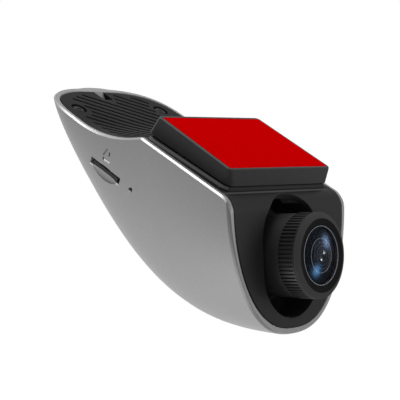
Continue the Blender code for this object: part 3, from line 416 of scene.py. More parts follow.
def grained(name, dark, light, rough, grain=4000.0, depth=0.00002, strength=0.25, metallic=0.0,
            specular=0.5, patches=60.0):
    """Material with two tones mixed by grain, patchy roughness and a fine bump."""
    material, tree, shader = base_material(name)
    texture = add_node(tree, "Group", {"Scale": grain}, node_tree=FINE_GRAIN)
    handled = {"Patches": patches, "Low": rough[0], "High": rough[1]}
    touch = add_node(tree, "Group", handled, node_tree=HANDLING)
    height = texture.outputs["Height"]
    tone = add_node(tree, "ValToRGB", {"Fac": height})
    for stop, place, colour in zip(tone.color_ramp.elements, NOISE_LIMITS, (dark, light)):
        stop.position = place
        stop.color = (*colour, 1.0)
    bump = add_node(tree, "Bump", {"Distance": depth, "Strength": strength, "Height": height})
    feed(tree, shader, {
        "Base Color": tone.outputs["Color"],
        "Roughness": touch.outputs["Roughness"],
        "Normal": bump.outputs["Normal"],
        "Metallic": metallic,
        "Specular IOR Level": specular,
    })
    return material


def grey(level):
    """Neutral colour of one level."""
    return (level, level, level)


# The plate and the front face are one black plastic in two copies: the face's tone is darker and the
# plate's lighter, as painted light and shade.
BLACK_PLASTIC = grained("black_plastic", grey(0.031), grey(0.038), (0.42, 0.52), specular=0.05)
FACE_PLASTIC = grained("face_plastic", grey(0.021), grey(0.026), (0.42, 0.52), specular=0.04)
DECK_PLASTIC = grained("deck_plastic", grey(0.01), grey(0.014), (0.46, 0.56), specular=0.03)
FINE = 6000.0
# Grip ring, neck, bezel and baffle are one lens plastic in four copies of different tone, as painted
# light and shade: lightest on the bezel, except its inner cone, which a mask keeps dark, and darkest
# on the baffle deep in the lens.
LENS_BLACK = grained("lens_black", grey(0.014), grey(0.019), (0.34, 0.44), FINE, specular=0.15)
NECK_BLACK = grained("neck_black", grey(0.026), grey(0.033), (0.3, 0.4), FINE, specular=0.15)
BEZEL_BLACK = grained("bezel_black", grey(0.054), grey(0.064), (0.5, 0.6), FINE, specular=0.0)
BAFFLE_BLACK = grained("baffle_black", grey(0.009), grey(0.013), (0.4, 0.5), FINE, specular=0.0)
RED_FILM = grained(
    "red_film", (0.47, 0.0, 0.0005), (0.52, 0.0, 0.0008), (0.42, 0.52), grain=900.0,
    depth=0.00001, strength=0.12, specular=0.0, patches=45.0,
)
FOAM = grained("foam", grey(0.03), grey(0.06), (0.85, 0.95), 2500.0, strength=0.5, specular=0.2)
BOARD_GREEN = grained("circuit_board", (0.008, 0.06, 0.03), (0.014, 0.1, 0.05), (0.4, 0.5), 1200.0)
CHIP_BLACK = grained("chip_black", grey(0.012), grey(0.018), (0.5, 0.6), grain=5000.0)
BARE_STEEL = grained("bare_steel", grey(0.5), grey(0.6), (0.25, 0.38), metallic=1.0, strength=0.1)
DARK_STEEL = grained(
    "dark_steel", grey(0.008), grey(0.014), (0.35, 0.45), strength=0.15, specular=0.08,
)
RUBBER = grained(
    "rubber", grey(0.014), grey(0.022), (0.75, 0.85), grain=3000.0, strength=0.4, specular=0.3,
)
SILICONE = grained("silicone_grey", (0.26, 0.28, 0.32), (0.32, 0.34, 0.38), (0.7, 0.8), 2000.0)
CARD_BLACK = grained("card_black", grey(0.016), grey(0.022), (0.45, 0.55), 3500.0, specular=0.2)
CAN_METAL = grained("can_metal", grey(0.55), grey(0.62), (0.3, 0.4), metallic=1.0, strength=0.08)
print("materials:", len(bpy.data.materials))

# %% [markdown]
# The silver paint is a mid grey lacquer with tiny flakes. Its rim was cut bright after painting, and
# the card sign is engraved. Such places could be pieces of their own, but they are the same
# moulding, so a mask on the faces says where the tone changes. The bare rings in the lens are
# masked too. Other masks stand for light in the photograph that these plain lamps do not give:
# painted shade on the dark front edge of the shell and in the sign's strokes, painted highlights on
# the bright nicks by the card slot, and painted light on the paler lining of the lens slot, ramp,
# bevel of the seat, lip of the plate and fine rings of the second element.

# %% Silver paint, and masks for other tones and for painted light and shade


def masked(material, attribute, tone, metallic=None):
    """Give a finish another tone, and a metallic share, on the faces where a stored mask is 1."""
    tree = material.node_tree
    shader = tree.nodes["Principled BSDF"]
    mask = add_node(tree, "Attribute", attribute_name=attribute).outputs["Fac"]
    changes = [("Base Color", "RGBA", (*tone, 1.0))]
    if metallic is not None:
        changes.append(("Metallic", "FLOAT", metallic))
    for label, kind, value in changes:
        socket = shader.inputs[label]
        before = socket.links[0].from_socket if socket.is_linked else socket.default_value
        mix = add_node(tree, "Mix", {"Factor": mask, "A": before, "B": value}, data_type=kind)
        feed(tree, shader, {label: mix.outputs["Result"]})


SILVER_PAINT = grained(
    "silver_paint", grey(0.2), grey(0.245), (0.36, 0.46), grain=7000.0, depth=0.00001,
    strength=0.12, metallic=0.08, specular=0.3, patches=40.0,
)
MASKED_TONES = [
    (SILVER_PAINT, "cut_edge", grey(0.3), 1.0),
    # painted shade: the shell's front edge is darker
    (SILVER_PAINT, "front_shade", grey(0.125), None),
    # painted shade in the card sign's engraved strokes
    (SILVER_PAINT, "stroke_shade", grey(0.06), 0.0),
    # painted highlight: the nicks are white
    (SILVER_PAINT, "glint", grey(0.9), 0.0),
    # painted light on the lining of the lens slot
    (FACE_PLASTIC, "sleeve", grey(0.2), None),
    # painted light on the ramp, the seat's bevel and the slot's lining, paler than the deck
    (DECK_PLASTIC, "ramp", grey(0.03), None),
    (DECK_PLASTIC, "bevel", grey(0.1), None),
    (DECK_PLASTIC, "sleeve", grey(0.1), None),
    # painted highlight on the plate's lip on the card side
    (BLACK_PLASTIC, "lip", grey(0.11), None),
    (BEZEL_BLACK, "cone", grey(0.016), None),
    (BEZEL_BLACK, "lit_ring", (0.15, 0.16, 0.18), 1.0),
    (BAFFLE_BLACK, "lit_ring", (0.08, 0.088, 0.1), 1.0),
]
for row in MASKED_TONES:
    masked(*row)
print("masked tones:", len(MASKED_TONES))

# %% [markdown]
# Lens elements carry a coating a fraction of a wavelength thick. It cancels most of the reflection
# and leaves a blue rest, so the front glass is given a thin film, in nanometres. It could transmit
# light as a solid lens does, but the film's inner side then lays a grey veil over the dark inside.
# So it is nearly clear by its alpha, and the glows that it mirrors are soft.

# %% Coated glass
FILM_THICKNESS = 165.0
FILM_INDEX = 1.31
WIPED_PATCHES = 300.0
WIPED_ROUGHER = 1.08
WIPED_DARKER = 0.94


def coated_glass(name, tint, specular, film, alpha, rough):
    """Dark glass with a thin film; faint patches in its roughness and tone are wiped dust."""
    material, tree, shader = base_material(name)
    wiped = {"Patches": WIPED_PATCHES, "Low": rough, "High": WIPED_ROUGHER * rough}
    touch = add_node(tree, "Group", wiped, node_tree=HANDLING)
    darker = [WIPED_DARKER * part for part in tint]
    tones = {"Factor": touch.outputs["Mask"], "A": (*tint, 1.0), "B": (*darker, 1.0)}
    feed(tree, shader, {
        "Base Color": add_node(tree, "Mix", tones, data_type="RGBA").outputs["Result"],
        "Roughness": touch.outputs["Roughness"],
        "Alpha": alpha,
        "Specular IOR Level": specular,
        "Thin Film Thickness": film,
        "Thin Film IOR": FILM_INDEX,
    })
    return material


CLEAR_GLASS = coated_glass(
    "clear_glass", (0.003, 0.003, 0.005), specular=0.5, film=FILM_THICKNESS, alpha=0.015, rough=0.19,
)
COATED_GLASS = coated_glass(
    "coated_glass", (0.003, 0.003, 0.004), specular=0.012, film=0.0, alpha=1.0, rough=0.07,
)
# The fine rings are painted lighter, as painted light on them.
masked(COATED_GLASS, "painted_ring_light", grey(0.025))
print("glass:", CLEAR_GLASS.name, COATED_GLASS.name)

# %% [markdown]
# ## The hull's shape
# The shell is a boat: seen from the side its rim climbs a straight ramp, steps flat for a moment
# and sweeps up to the tail, while the keel curves up to meet it. Across, each section is a
# superellipse-like arch. It could be sculpted, but these few curves say everything, so they are
# functions of the distance along the hull, in millimetres.

# %% Curves of the hull
FRONT_Y = -15.3
TAIL_Y = 60.2
KINK_Y = 16.6
KINK_Z = 2.1
RAMP_ANGLE = math.radians(30.4)
RAMP_SLOPE = math.tan(RAMP_ANGLE)
ROLL_RADIUS = 6.6
ARC_START = KINK_Y + 3.7
DECK_RADIUS = 40.5
DECK_ANGLE = math.radians(31.8)
DECK_SLOPE = math.tan(DECK_ANGLE)
ARC_END = ARC_START + DECK_RADIUS * math.sin(DECK_ANGLE)
FRONT_HALF = 28.2
REAR_HALF = 27.1
TAIL_START = 43.4
TAIL_POWER = 2.8
KEEL_Z = -56.0
KEEL_START = -60.1
KEEL_POWER = 5.2
DEPTH_POWERS = (2.0, 0.44)
WIDTH_POWERS = (2.4, 0.32)
ROLL_Y = FRONT_Y + ROLL_RADIUS
ROLL_Z = KINK_Z + RAMP_SLOPE * (ROLL_Y - KINK_Y) - ROLL_RADIUS / math.cos(RAMP_ANGLE)


def rim_reference(y):
    """Rim height without the rolled front: ramp, flat step, circular arc, then a straight tail."""
    y = np.asarray(y, float)
    ramp = KINK_Z + RAMP_SLOPE * (y - KINK_Y)
    reach = np.clip(y, ARC_START, ARC_END) - ARC_START
    sweep = KINK_Z + DECK_RADIUS - np.sqrt(DECK_RADIUS ** 2 - reach ** 2)
    sweep = sweep + DECK_SLOPE * np.maximum(y - ARC_END, 0.0)
    return np.where(y < KINK_Y, ramp, sweep)


def keel_height(y):
    """Keel: a power curve of the distance from a point ahead of the front."""
    share = (np.asarray(y, float) - KEEL_START) / (TAIL_Y - KEEL_START)
    return KEEL_Z + (rim_reference(TAIL_Y) - KEEL_Z) * share ** KEEL_POWER


def section_powers(y):
    """The two exponents of the section's arch: each starts high and falls evenly to the tail."""
    along = np.clip((np.asarray(y, float) - FRONT_Y) / (TAIL_Y - FRONT_Y), 0.0, 1.0)
    depth_power = DEPTH_POWERS[0] - DEPTH_POWERS[1] * along
    width_power = WIDTH_POWERS[0] - WIDTH_POWERS[1] * along
    return depth_power, width_power


def arch(y, half, drop):
    """Half-width of the section at a share of its depth: half * (1 - drop^m)^(1/n)."""
    depth_power, width_power = section_powers(y)
    return half * np.maximum(1.0 - drop ** depth_power, 0.0) ** (1.0 / width_power)


print("rim height at the tail:", float(rim_reference(TAIL_Y)))

# %% [markdown]
# The rim is walked from the front to the tail: round the rolled corner, up the ramp, over the step
# and the arc, and round the blunt tail, where the plan is a quarter of a superellipse. Each stop
# on this walk is one row of the hull's grid.

# %% Stations along the rim
TINY = 1e-9
ROLL_STOPS = 18
RAMP_STOPS = 46
STEP_STOPS = 8
ARC_STOPS = 34
TAIL_STOPS = 44


def rim_stations():
    """Half-width, distance and height of the outer rim at every stop."""
    turn = np.linspace(math.pi, 0.5 * math.pi + RAMP_ANGLE, ROLL_STOPS)
    roll_y = ROLL_Y + ROLL_RADIUS * np.cos(turn)
    roll_z = ROLL_Z + ROLL_RADIUS * np.sin(turn)
    ramp_y = np.linspace(roll_y[-1], KINK_Y, RAMP_STOPS)[1:]
    step_y = np.linspace(KINK_Y, ARC_START, STEP_STOPS)[1:]
    arc_y = np.linspace(ARC_START, TAIL_START, ARC_STOPS)[1:]
    side_y = np.concatenate((roll_y, ramp_y, step_y, arc_y))
    share = (side_y - FRONT_Y) / (TAIL_START - FRONT_Y)
    side_x = FRONT_HALF + (REAR_HALF - FRONT_HALF) * share
    bend = np.linspace(0.0, 0.5 * math.pi, TAIL_STOPS)[1:]
    tail_x = REAR_HALF * np.maximum(np.cos(bend), 0.0) ** (2.0 / TAIL_POWER)
    tail_x[-1] = 0.0
    tail_y = TAIL_START + (TAIL_Y - TAIL_START) * np.sin(bend) ** (2.0 / TAIL_POWER)
    x = np.concatenate((side_x, tail_x))
    y = np.concatenate((side_y, tail_y))
    z = rim_reference(y)
    z[:ROLL_STOPS] = roll_z
    return x, y, z


def inward_normals(x, y):
    """Unit vectors in plan that point from the right-hand rim to the inside."""
    along_x = np.gradient(x)
    along_y = np.maximum(np.gradient(y), TINY)
    along_y[-1] = 0.0
    length = np.hypot(along_x, along_y)
    return -along_y / length, along_x / length


RIM_X, RIM_Y, RIM_Z = rim_stations()
RIM_NX, RIM_NY = inward_normals(RIM_X, RIM_Y)
print("stations:", len(RIM_Y))

# %% [markdown]
# ## The silver shell
# A real shell like this is moulded between one and two millimetres thick. One closed ring per
# station holds the outer arch, the cut edge, the flat land of the rim and the inner arch, so the
# grid of all rings is the shell with its true wall. The card slot, the nail scoop below it and the
# pinhole are then carved out.

# %% Outer and inner arches
WALL = 1.75
CUT_EDGE = 0.6
OUTER_STOPS = 64
INNER_STOPS = 20


def outer_arch():
    """Outer right-hand half of every section, from just under the rim to the keel."""
    reference = rim_reference(RIM_Y)[:, None]
    keel = keel_height(RIM_Y)[:, None]
    depth = reference - keel
    edge = np.minimum(CUT_EDGE, 0.5 * (RIM_Z[:, None] - keel))
    below_rim = (reference - RIM_Z[:, None] + edge) / np.maximum(depth, TINY)
    start = np.where(depth > TINY, below_rim, 0.0)
    spread = np.sin(0.5 * math.pi * np.linspace(0.0, 1.0, OUTER_STOPS))[None, :]
    drop = np.clip(start + (1.0 - start) * spread, 0.0, 1.0)
    x = arch(RIM_Y[:, None], RIM_X[:, None], drop)
    z = reference - depth * drop
    return x, z


def drawn_in(x, z, amount):
    """Curves moved towards their inside by an amount per row, square to the curve."""
    along_x = np.gradient(x, axis=1)
    along_z = np.gradient(z, axis=1)
    length = np.maximum(np.hypot(along_x, along_z), TINY)
    return x + amount * along_z / length, z - amount * along_x / length


def inner_arch(land_x, land_y, land_z):
    """Inner half of every section, from the land of the rim to the inner keel."""
    slope = np.gradient(keel_height(RIM_Y), RIM_Y + np.arange(len(RIM_Y)) * TINY)
    lean = np.arctan(slope)
    shifted = np.minimum(land_y + WALL * np.sin(lean), TAIL_Y)
    floor = np.minimum(keel_height(shifted) + WALL * np.cos(lean), land_z)[:, None]
    drop = np.sin(0.5 * math.pi * np.linspace(0.0, 1.0, INNER_STOPS))[None, 1:]
    x = arch(land_y[:, None], land_x[:, None], drop)
    return x, land_z[:, None] - (land_z[:, None] - floor) * drop


print("outer and inner stops of a section:", OUTER_STOPS, INNER_STOPS)

# %% [markdown]
# Between the two arches lies the rim: a slanted cut edge outside and a flat land inside. At the
# front the outside turns in a little, as a moulding does where it meets another part. A bevel
# modifier could do that, but here it follows the distance from the front.

# %% Rings of the shell
FRONT_FILLET = 1.2
FRONT_TURN_IN = 0.4


def shell_mesh():
    """Closed rings of outer arch, cut edge, land and inner arch, joined from front to tail."""
    out_x, out_z = outer_arch()
    ahead = np.maximum(1.0 - (RIM_Y - FRONT_Y) / FRONT_FILLET, 0.0)
    front_cut = (FRONT_TURN_IN * ahead ** 2)[:, None]
    out_x, out_z = drawn_in(out_x, out_z, front_cut)
    out_x[:, -1] = 0.0
    edge = np.minimum(CUT_EDGE, 0.5 * RIM_X + 0.5 * CUT_EDGE)
    edge_x = np.maximum(RIM_X + edge * RIM_NX, 0.0) - front_cut[:, 0]
    edge_y = np.maximum(RIM_Y + edge * RIM_NY, FRONT_Y)
    land_x = np.maximum(RIM_X + WALL * RIM_NX, 0.0)
    land_y = np.maximum(RIM_Y + WALL * RIM_NY, FRONT_Y)
    rolled = RIM_Y < RIM_Y[ROLL_STOPS - 1]
    edge_z = np.where(rolled, RIM_Z, rim_reference(edge_y))
    land_z = np.where(rolled, RIM_Z, rim_reference(land_y))
    in_x, in_z = inner_arch(land_x, land_y, land_z)
    in_x[:, -1] = 0.0
    outer = joined(out_x, RIM_Y[:, None], out_z)
    rim = np.stack((joined(edge_x, edge_y, edge_z), joined(land_x, land_y, land_z)), axis=1)
    inner = joined(in_x, land_y[:, None], in_z)
    flip = np.array([-1.0, 1.0, 1.0])
    ring = np.concatenate((
        outer * flip,
        outer[:, -2::-1],
        rim,
        inner,
        inner[:, -2::-1] * flip,
        rim[:, ::-1] * flip,
    ), axis=1)
    return grid_mesh("hull_shell", ring, caps=True)


SHELL_MESH = shell_mesh()
print("shell faces before carving:", len(SHELL_MESH.polygons))

# %% [markdown]
# The card slot lies in the plane of the board inside, which tilts as the deck does. Its corners
# could be worked out one by one, but places along and above that plane are easier to read. So a
# helper turns them into the object's frame, and others make bars and rings with round corners.

# %% Bars and rings on the tilted board
BOARD_Y = 32.33
BOARD_Z = -6.84


def tilted(points, place):
    """Points across, along and above a plane that tilts as the deck does, set at a place."""
    across, along, above = points[..., 0], points[..., 1], points[..., 2]
    cos, sin = math.cos(DECK_ANGLE), math.sin(DECK_ANGLE)
    y = place[1] + along * cos - above * sin
    z = place[2] + along * sin + above * cos
    return joined(place[0] + across, y, z)


def on_board(points):
    """Points given across, along and above the tilted board, in the object's frame."""
    return tilted(points, (0.0, BOARD_Y, BOARD_Z))


def bar(ring, low, high):
    """Straight bar along X over a closed ring of (along, above) points."""
    return joined(np.array([[low], [high]]), ring[:, 0], ring[:, 1])


def rounded_ring(corners, radius, steps=5):
    """Closed ring round a convex outline, given anticlockwise, with arcs at its corners."""
    corners = np.asarray(corners, float)
    before = np.roll(corners, 1, axis=0) - corners
    after = np.roll(corners, -1, axis=0) - corners
    before /= np.linalg.norm(before, axis=1, keepdims=True)
    after /= np.linalg.norm(after, axis=1, keepdims=True)
    half = 0.5 * np.arccos(np.clip(np.sum(before * after, axis=1), -1.0, 1.0))
    middle = before + after
    middle /= np.linalg.norm(middle, axis=1, keepdims=True)
    centre = corners + middle * (radius / np.sin(half))[:, None]
    first = corners + before * (radius / np.tan(half))[:, None] - centre
    start = np.arctan2(first[:, 1], first[:, 0])
    turn = start[:, None] + (math.pi - 2.0 * half)[:, None] * np.linspace(0.0, 1.0, steps)[None, :]
    arcs = centre[:, None, :] + radius * joined(np.cos(turn), np.sin(turn))
    return arcs.reshape(-1, 2)


print("board at", BOARD_Y, BOARD_Z, "mm, tilted", round(math.degrees(DECK_ANGLE), 1), "degrees")

# %% [markdown]
# The carving tools are small closed surfaces: a rounded bar for the card slot, an oval for the
# scoop below it, where a nail finds the card, and a thin rod for the pinhole.

# %% Tools for the slot, the scoop and the pinhole
SLOT_LENGTH = 13.1
SLOT_HEIGHT = 1.9
SLOT_CORNER = 0.2
SCOOP_AXES = (0.8, 5.3, 2.3)
SCOOP_PLACE = (-25.75, 0.0, -0.95)
SCOOP_LEAN = math.radians(-16.0)
PINHOLE_Y = 22.7
PINHOLE_Z = -12.75
PINHOLE_RADIUS = 0.72
SLOT_REACH = (-36.0, -21.0)
PINHOLE_REACH = (-40.0, -18.0)


def leaning_oval(count=40):
    """Ellipsoid on a grid of two angles, leaned about the board's length to fade out downwards."""
    around = full_turn(count)[None, :]
    down = np.linspace(0.0, math.pi, count // 2)[:, None]
    x = np.sin(down) * np.cos(around)
    y = np.sin(down) * np.sin(around)
    z = np.cos(down) * np.ones_like(around)
    flat = joined(x, y, z) * np.array(SCOOP_AXES)
    cos, sin = math.cos(SCOOP_LEAN), math.sin(SCOOP_LEAN)
    x = flat[..., 0] * cos + flat[..., 2] * sin
    z = flat[..., 2] * cos - flat[..., 0] * sin
    return joined(x, flat[..., 1], z) + np.array(SCOOP_PLACE)


def rectangle(half_x, half_y):
    """Corners of a rectangle about its middle."""
    return [(-half_x, -half_y), (half_x, -half_y), (half_x, half_y), (-half_x, half_y)]


def pinhole_points():
    """Thin rod across the shell's left side."""
    turn = full_turn(24)
    ring = joined(np.cos(turn), np.sin(turn)) * PINHOLE_RADIUS
    return bar(ring + (PINHOLE_Y, PINHOLE_Z), *PINHOLE_REACH)


SLOT_RING = rounded_ring(rectangle(0.5 * SLOT_LENGTH, 0.5 * SLOT_HEIGHT), SLOT_CORNER)
SLOT_POINTS = on_board(bar(SLOT_RING, *SLOT_REACH))
SLOT_TOOL = grid_mesh("slot_tool", SLOT_POINTS, caps=True)
SCOOP_TOOL = grid_mesh("scoop_tool", on_board(leaning_oval()))
PIN_TOOL = grid_mesh("pin_tool", pinhole_points(), caps=True)
print("slot in mm:", SLOT_LENGTH, "x", SLOT_HEIGHT)

# %% [markdown]
# The edges of the slot and the pinhole are broken, and a small card sign and a few bright nicks are
# engraved beside them. The sign's strokes are painted darker as shade in them, and the nicks are
# painted white as highlights. A sign could be a texture, but an engraving keeps its shape from all
# sides. A thin bar follows each line on the hull's own surface, half sunk into it, and is cut away.

# %% Broken edges and engraved strokes
EDGE_BREAK = 0.15
EDGE_CORNER = 0.3
EDGE_SPACING = 0.5
STROKE = 0.28
STROKE_STOPS = 9
DARK_STROKES = [
    ((1.1, 6.53), (2.0, 4.1)),
    ((1.76, 3.55), (1.56, 2.75)),
    ((-0.3, 4.76), (-0.1, 5.96)),
]
BRIGHT_STROKES = [
    ((1.15, 2.8), (-1.2, 3.0)),
    ((6.5, -1.3), (5.3, -1.3)),
    ((-6.5, -1.3), (-5.5, -1.3)),
    ((-10.8, -0.75), (-11.4, -0.75)),
]


def hull_side(y, z):
    """Half-width of the shell's outside at a distance along it and a height."""
    reference = rim_reference(y)
    half = FRONT_HALF + (REAR_HALF - FRONT_HALF) * (y - FRONT_Y) / (TAIL_START - FRONT_Y)
    return arch(y, half, (reference - z) / (reference - keel_height(y)))


def dense(corners, spacing):
    """Closed outline with extra points, so that no step is longer than the spacing."""
    corners = np.asarray(corners, float)
    parts = []
    for start, end in zip(corners, np.roll(corners, -1, axis=0)):
        count = max(int(np.linalg.norm(end - start) / spacing), 1)
        parts.append(start + (end - start) * np.linspace(0.0, 1.0, count, endpoint=False)[:, None])
    return np.concatenate(parts)


def surface_groove(side_points, radius, closed=True):
    """Bar with a diamond section along (y, z) points on the hull's left side, half sunk into it."""
    y, z = side_points[:, 0], side_points[:, 1]
    path = joined(-hull_side(y, z), y, z)
    along = np.gradient(path, axis=0)
    if closed:
        along = np.roll(path, -1, axis=0) - np.roll(path, 1, axis=0)
    along /= np.linalg.norm(along, axis=1, keepdims=True)
    out = np.array([[-1.0, 0.0, 0.0]]) + along * along[:, :1]
    out /= np.linalg.norm(out, axis=1, keepdims=True)
    turn = full_turn(4)[None, :, None]
    ring = np.cos(turn) * out[:, None] + np.sin(turn) * np.cross(along, out)[:, None]
    return grid_mesh("groove", path[:, None] + radius * ring, wrap_rows=closed, caps=not closed)


def board_side(outline):
    """Places (y, z) of an outline given along and above the tilted board."""
    return on_board(joined(0.0, outline[:, 0], outline[:, 1]))[:, 1:]


def stroke_sides(strokes):
    """Places (y, z) along straight strokes, each given by its ends on the board's plane."""
    return [board_side(np.linspace(start, end, STROKE_STOPS)) for start, end in strokes]


PIN_SIDE = pinhole_points()[0][:, 1:]
SLOT_EDGE = rounded_ring(rectangle(0.5 * SLOT_LENGTH, 0.5 * SLOT_HEIGHT), EDGE_CORNER)
SLOT_SIDE = board_side(dense(SLOT_EDGE, EDGE_SPACING))
DARK_SIDES = stroke_sides(DARK_STROKES)
BRIGHT_SIDES = stroke_sides(BRIGHT_STROKES)
SHELL_TOOLS = [SCOOP_TOOL, SLOT_TOOL, PIN_TOOL]
SHELL_TOOLS += [surface_groove(side, EDGE_BREAK) for side in (SLOT_SIDE, PIN_SIDE)]
SHELL_TOOLS += [surface_groove(side, STROKE, closed=False) for side in DARK_SIDES + BRIGHT_SIDES]
CARVED_SHELL = carved(SHELL_MESH, [("DIFFERENCE", tool) for tool in SHELL_TOOLS])
print("shell faces after carving:", len(CARVED_SHELL.polygons))

# %% [markdown]
# The masks of the paint are worked out from where each face lies and where it looks. They could be
# painted by hand, but then every change to the hull would ask for new ones.

# %% Masks on the shell
RIM_REACH = 1.4
RIM_OUTWARD = 0.3
RIM_UPWARD = 0.2
SUNK_SHARE = 0.15
FACING_FRONT = -0.95


def face_frames(mesh):
    """Centres in millimetres and normals of all faces."""
    centre = np.zeros(len(mesh.polygons) * 3)
    normal = np.zeros(len(mesh.polygons) * 3)
    mesh.polygons.foreach_get("center", centre)
    mesh.polygons.foreach_get("normal", normal)
    return centre.reshape(-1, 3) / MM, normal.reshape(-1, 3)


def store_mask(mesh, attribute, mask):
    """Keep a mask on the faces, for the materials to read."""
    stored = mesh.attributes.new(attribute, "FLOAT", "FACE")
    stored.data.foreach_set("value", mask.astype(np.float32))
    print(f"{attribute}: {int(mask.sum())} faces")


def on_cut_edge(mesh):
    """Mask of the slanted edge between the outside and the rim's land."""
    centre, normal = face_frames(mesh)
    rolled = np.interp(centre[:, 1], RIM_Y[:ROLL_STOPS], RIM_Z[:ROLL_STOPS])
    top = np.where(centre[:, 1] < RIM_Y[ROLL_STOPS - 1], rolled, rim_reference(centre[:, 1]))
    near_rim = top - centre[:, 2] < RIM_REACH * CUT_EDGE
    outside = np.abs(normal[:, 0]) + np.maximum(normal[:, 1], 0.0) > RIM_OUTWARD
    slanted = outside & (normal[:, 2] > RIM_UPWARD)
    return near_rim & slanted


def sunk_along(mesh, sides):
    """Mask of the faces that lie below the hull's left side along some strokes."""
    centre = face_frames(mesh)[0]
    places = np.concatenate(sides)
    away = np.linalg.norm(centre[:, None, 1:] - places[None], axis=2).min(axis=1)
    near = (away < STROKE) & (centre[:, 0] < 0.0)
    depth = np.zeros(len(centre))
    depth[near] = hull_side(centre[near, 1], centre[near, 2]) + centre[near, 0]
    return depth > SUNK_SHARE * STROKE


def on_front_turn(mesh):
    """Mask of the shell's outside where it turns in towards the front, where the paint is darker as
    painted shade.
    """
    centre, normal = face_frames(mesh)
    ahead = (centre[:, 1] < FRONT_Y + FRONT_FILLET) & (normal[:, 1] > FACING_FRONT)
    reach = hull_side(np.maximum(centre[:, 1], FRONT_Y), centre[:, 2])
    return ahead & (np.abs(centre[:, 0]) > reach - 0.5 * WALL)


store_mask(CARVED_SHELL, "cut_edge", on_cut_edge(CARVED_SHELL))
# The shell's front edge is painted darker, as shade.
store_mask(CARVED_SHELL, "front_shade", on_front_turn(CARVED_SHELL))
# The sign's strokes are painted darker, as shade in them.
store_mask(CARVED_SHELL, "stroke_shade", sunk_along(CARVED_SHELL, DARK_SIDES))
# The nicks are painted white, as highlights.
store_mask(CARVED_SHELL, "glint", sunk_along(CARVED_SHELL, BRIGHT_SIDES))
piece("shell", CARVED_SHELL, SILVER_PAINT, "housing", "silver_paint", "hull_shell")

# %% [markdown]
# ## The black front
# The front panel closes the shell's mouth. It is flat below and rolls back at the top, and an
# upright slot with round ends lets the lens tilt. It could be cut from a slab, but here it is one
# surface between two curves, the slot and the outline, both read at the same angles round the
# lens. A fold then bends the flat surface back over the roll.

# %% Front panel surface
LENS_Z = -33.0
PANEL_INSET = 1.82
PANEL_WALL = 1.8
PANEL_TOP = -14.72
SLOT_HALF = 13.3
SLOT_LIFT = 4.55
PANEL_ROWS = 26
PANEL_EDGE = 0.25
PANEL_SOFTER = 0.3
OUTLINE_STOPS = 90
TOP_STOPS = 41


def panel_outline():
    """Right-hand outline of the panel: the front section drawn in, from top to bottom."""
    reference = float(rim_reference(FRONT_Y))
    depth = reference - float(keel_height(FRONT_Y))
    drop = np.sin(0.5 * math.pi * np.linspace(0.0, 1.0, OUTLINE_STOPS))[None, :]
    x = arch(np.array([[FRONT_Y]]), FRONT_HALF, drop)
    x, z = drawn_in(x, reference - depth * drop, PANEL_INSET)
    x[0, -1] = 0.0
    upper = np.array([[x[0, 0], PANEL_TOP]])
    return np.concatenate((upper, joined(x[0], z[0])))


def panel_rays():
    """Angles round the lens for every point of the whole outline, and the outline's distances."""
    right = panel_outline()
    across = np.linspace(-1.0, 1.0, TOP_STOPS)[1:-1] * right[0, 0]
    top = joined(across, PANEL_TOP)
    whole = np.concatenate((right[::-1], top[::-1], right[:-1] * (-1.0, 1.0)))
    away = whole - (0.0, LENS_Z)
    return np.arctan2(away[:, 1], away[:, 0]), np.hypot(away[:, 0], away[:, 1])


def slot_distance(angle, grow=0.0):
    """Distance from the lens to the slot's edge: straight sides, or a round end above and below."""
    radius = SLOT_HALF + grow
    cos = np.maximum(np.abs(np.cos(angle)), TINY)
    sin = np.abs(np.sin(angle))
    side = radius / cos
    end = SLOT_LIFT * sin + np.sqrt(radius ** 2 - (SLOT_LIFT * cos) ** 2)
    return np.where(side * sin <= SLOT_LIFT, side, end)


def folded(x, z, depth):
    """Point at a depth behind the front: straight back below, towards the roll's axis above."""
    lift = np.clip((z - ROLL_Z) / ROLL_RADIUS, 0.0, 1.0)
    turn = np.arcsin(lift)
    reach = ROLL_RADIUS - depth
    rolled = z > ROLL_Z
    y = np.where(rolled, ROLL_Y - reach * np.cos(turn), FRONT_Y + depth)
    return joined(x, y, np.where(rolled, ROLL_Z + reach * np.sin(turn), z))


def panel_points():
    """Rows from the slot's back edge over the front to the outline's back edge, and home behind."""
    angle, reach = panel_rays()
    share = np.linspace(0.0, 1.0, PANEL_ROWS)[:, None]
    near = slot_distance(angle, PANEL_EDGE)[None, :]
    face = near + (reach - PANEL_EDGE - near) * share
    slot = slot_distance(angle)[None, :]
    soft_edge = PANEL_SOFTER * PANEL_EDGE
    soft = slot_distance(angle, soft_edge)[None, :]
    rim = reach[None, :]
    rows = np.concatenate((slot, slot, soft, face, rim - soft_edge, rim, rim, face[::-1]))
    deep = PANEL_WALL
    depths = [deep, PANEL_EDGE, soft_edge] + [0.0] * PANEL_ROWS
    depths += [soft_edge, PANEL_EDGE, deep] + [deep] * PANEL_ROWS
    return folded(rows * np.cos(angle), LENS_Z + rows * np.sin(angle), np.array(depths)[:, None])


print("panel rows:", 2 * PANEL_ROWS)

# %% [markdown]
# The sleeve runs from the panel back to the ball, as the moulded collar round such a lens does. It
# could be a thick panel, but a panel is thin everywhere else, so the sleeve is a tube of its own
# with the slot's outline. It is cut off under the sloping cover and joined to the panel.

# %% Sleeve behind the lens slot
SLOT_STOPS = 120
TUNNEL_END = -6.5
TUNNEL_WALL = 1.2
TUNNEL_LAP = 0.4
COVER_GAP = 2.3
BLOCK_MARGIN = 2.0
BLOCK_RISE = 20.0
BLOCK_HALF = 40.0


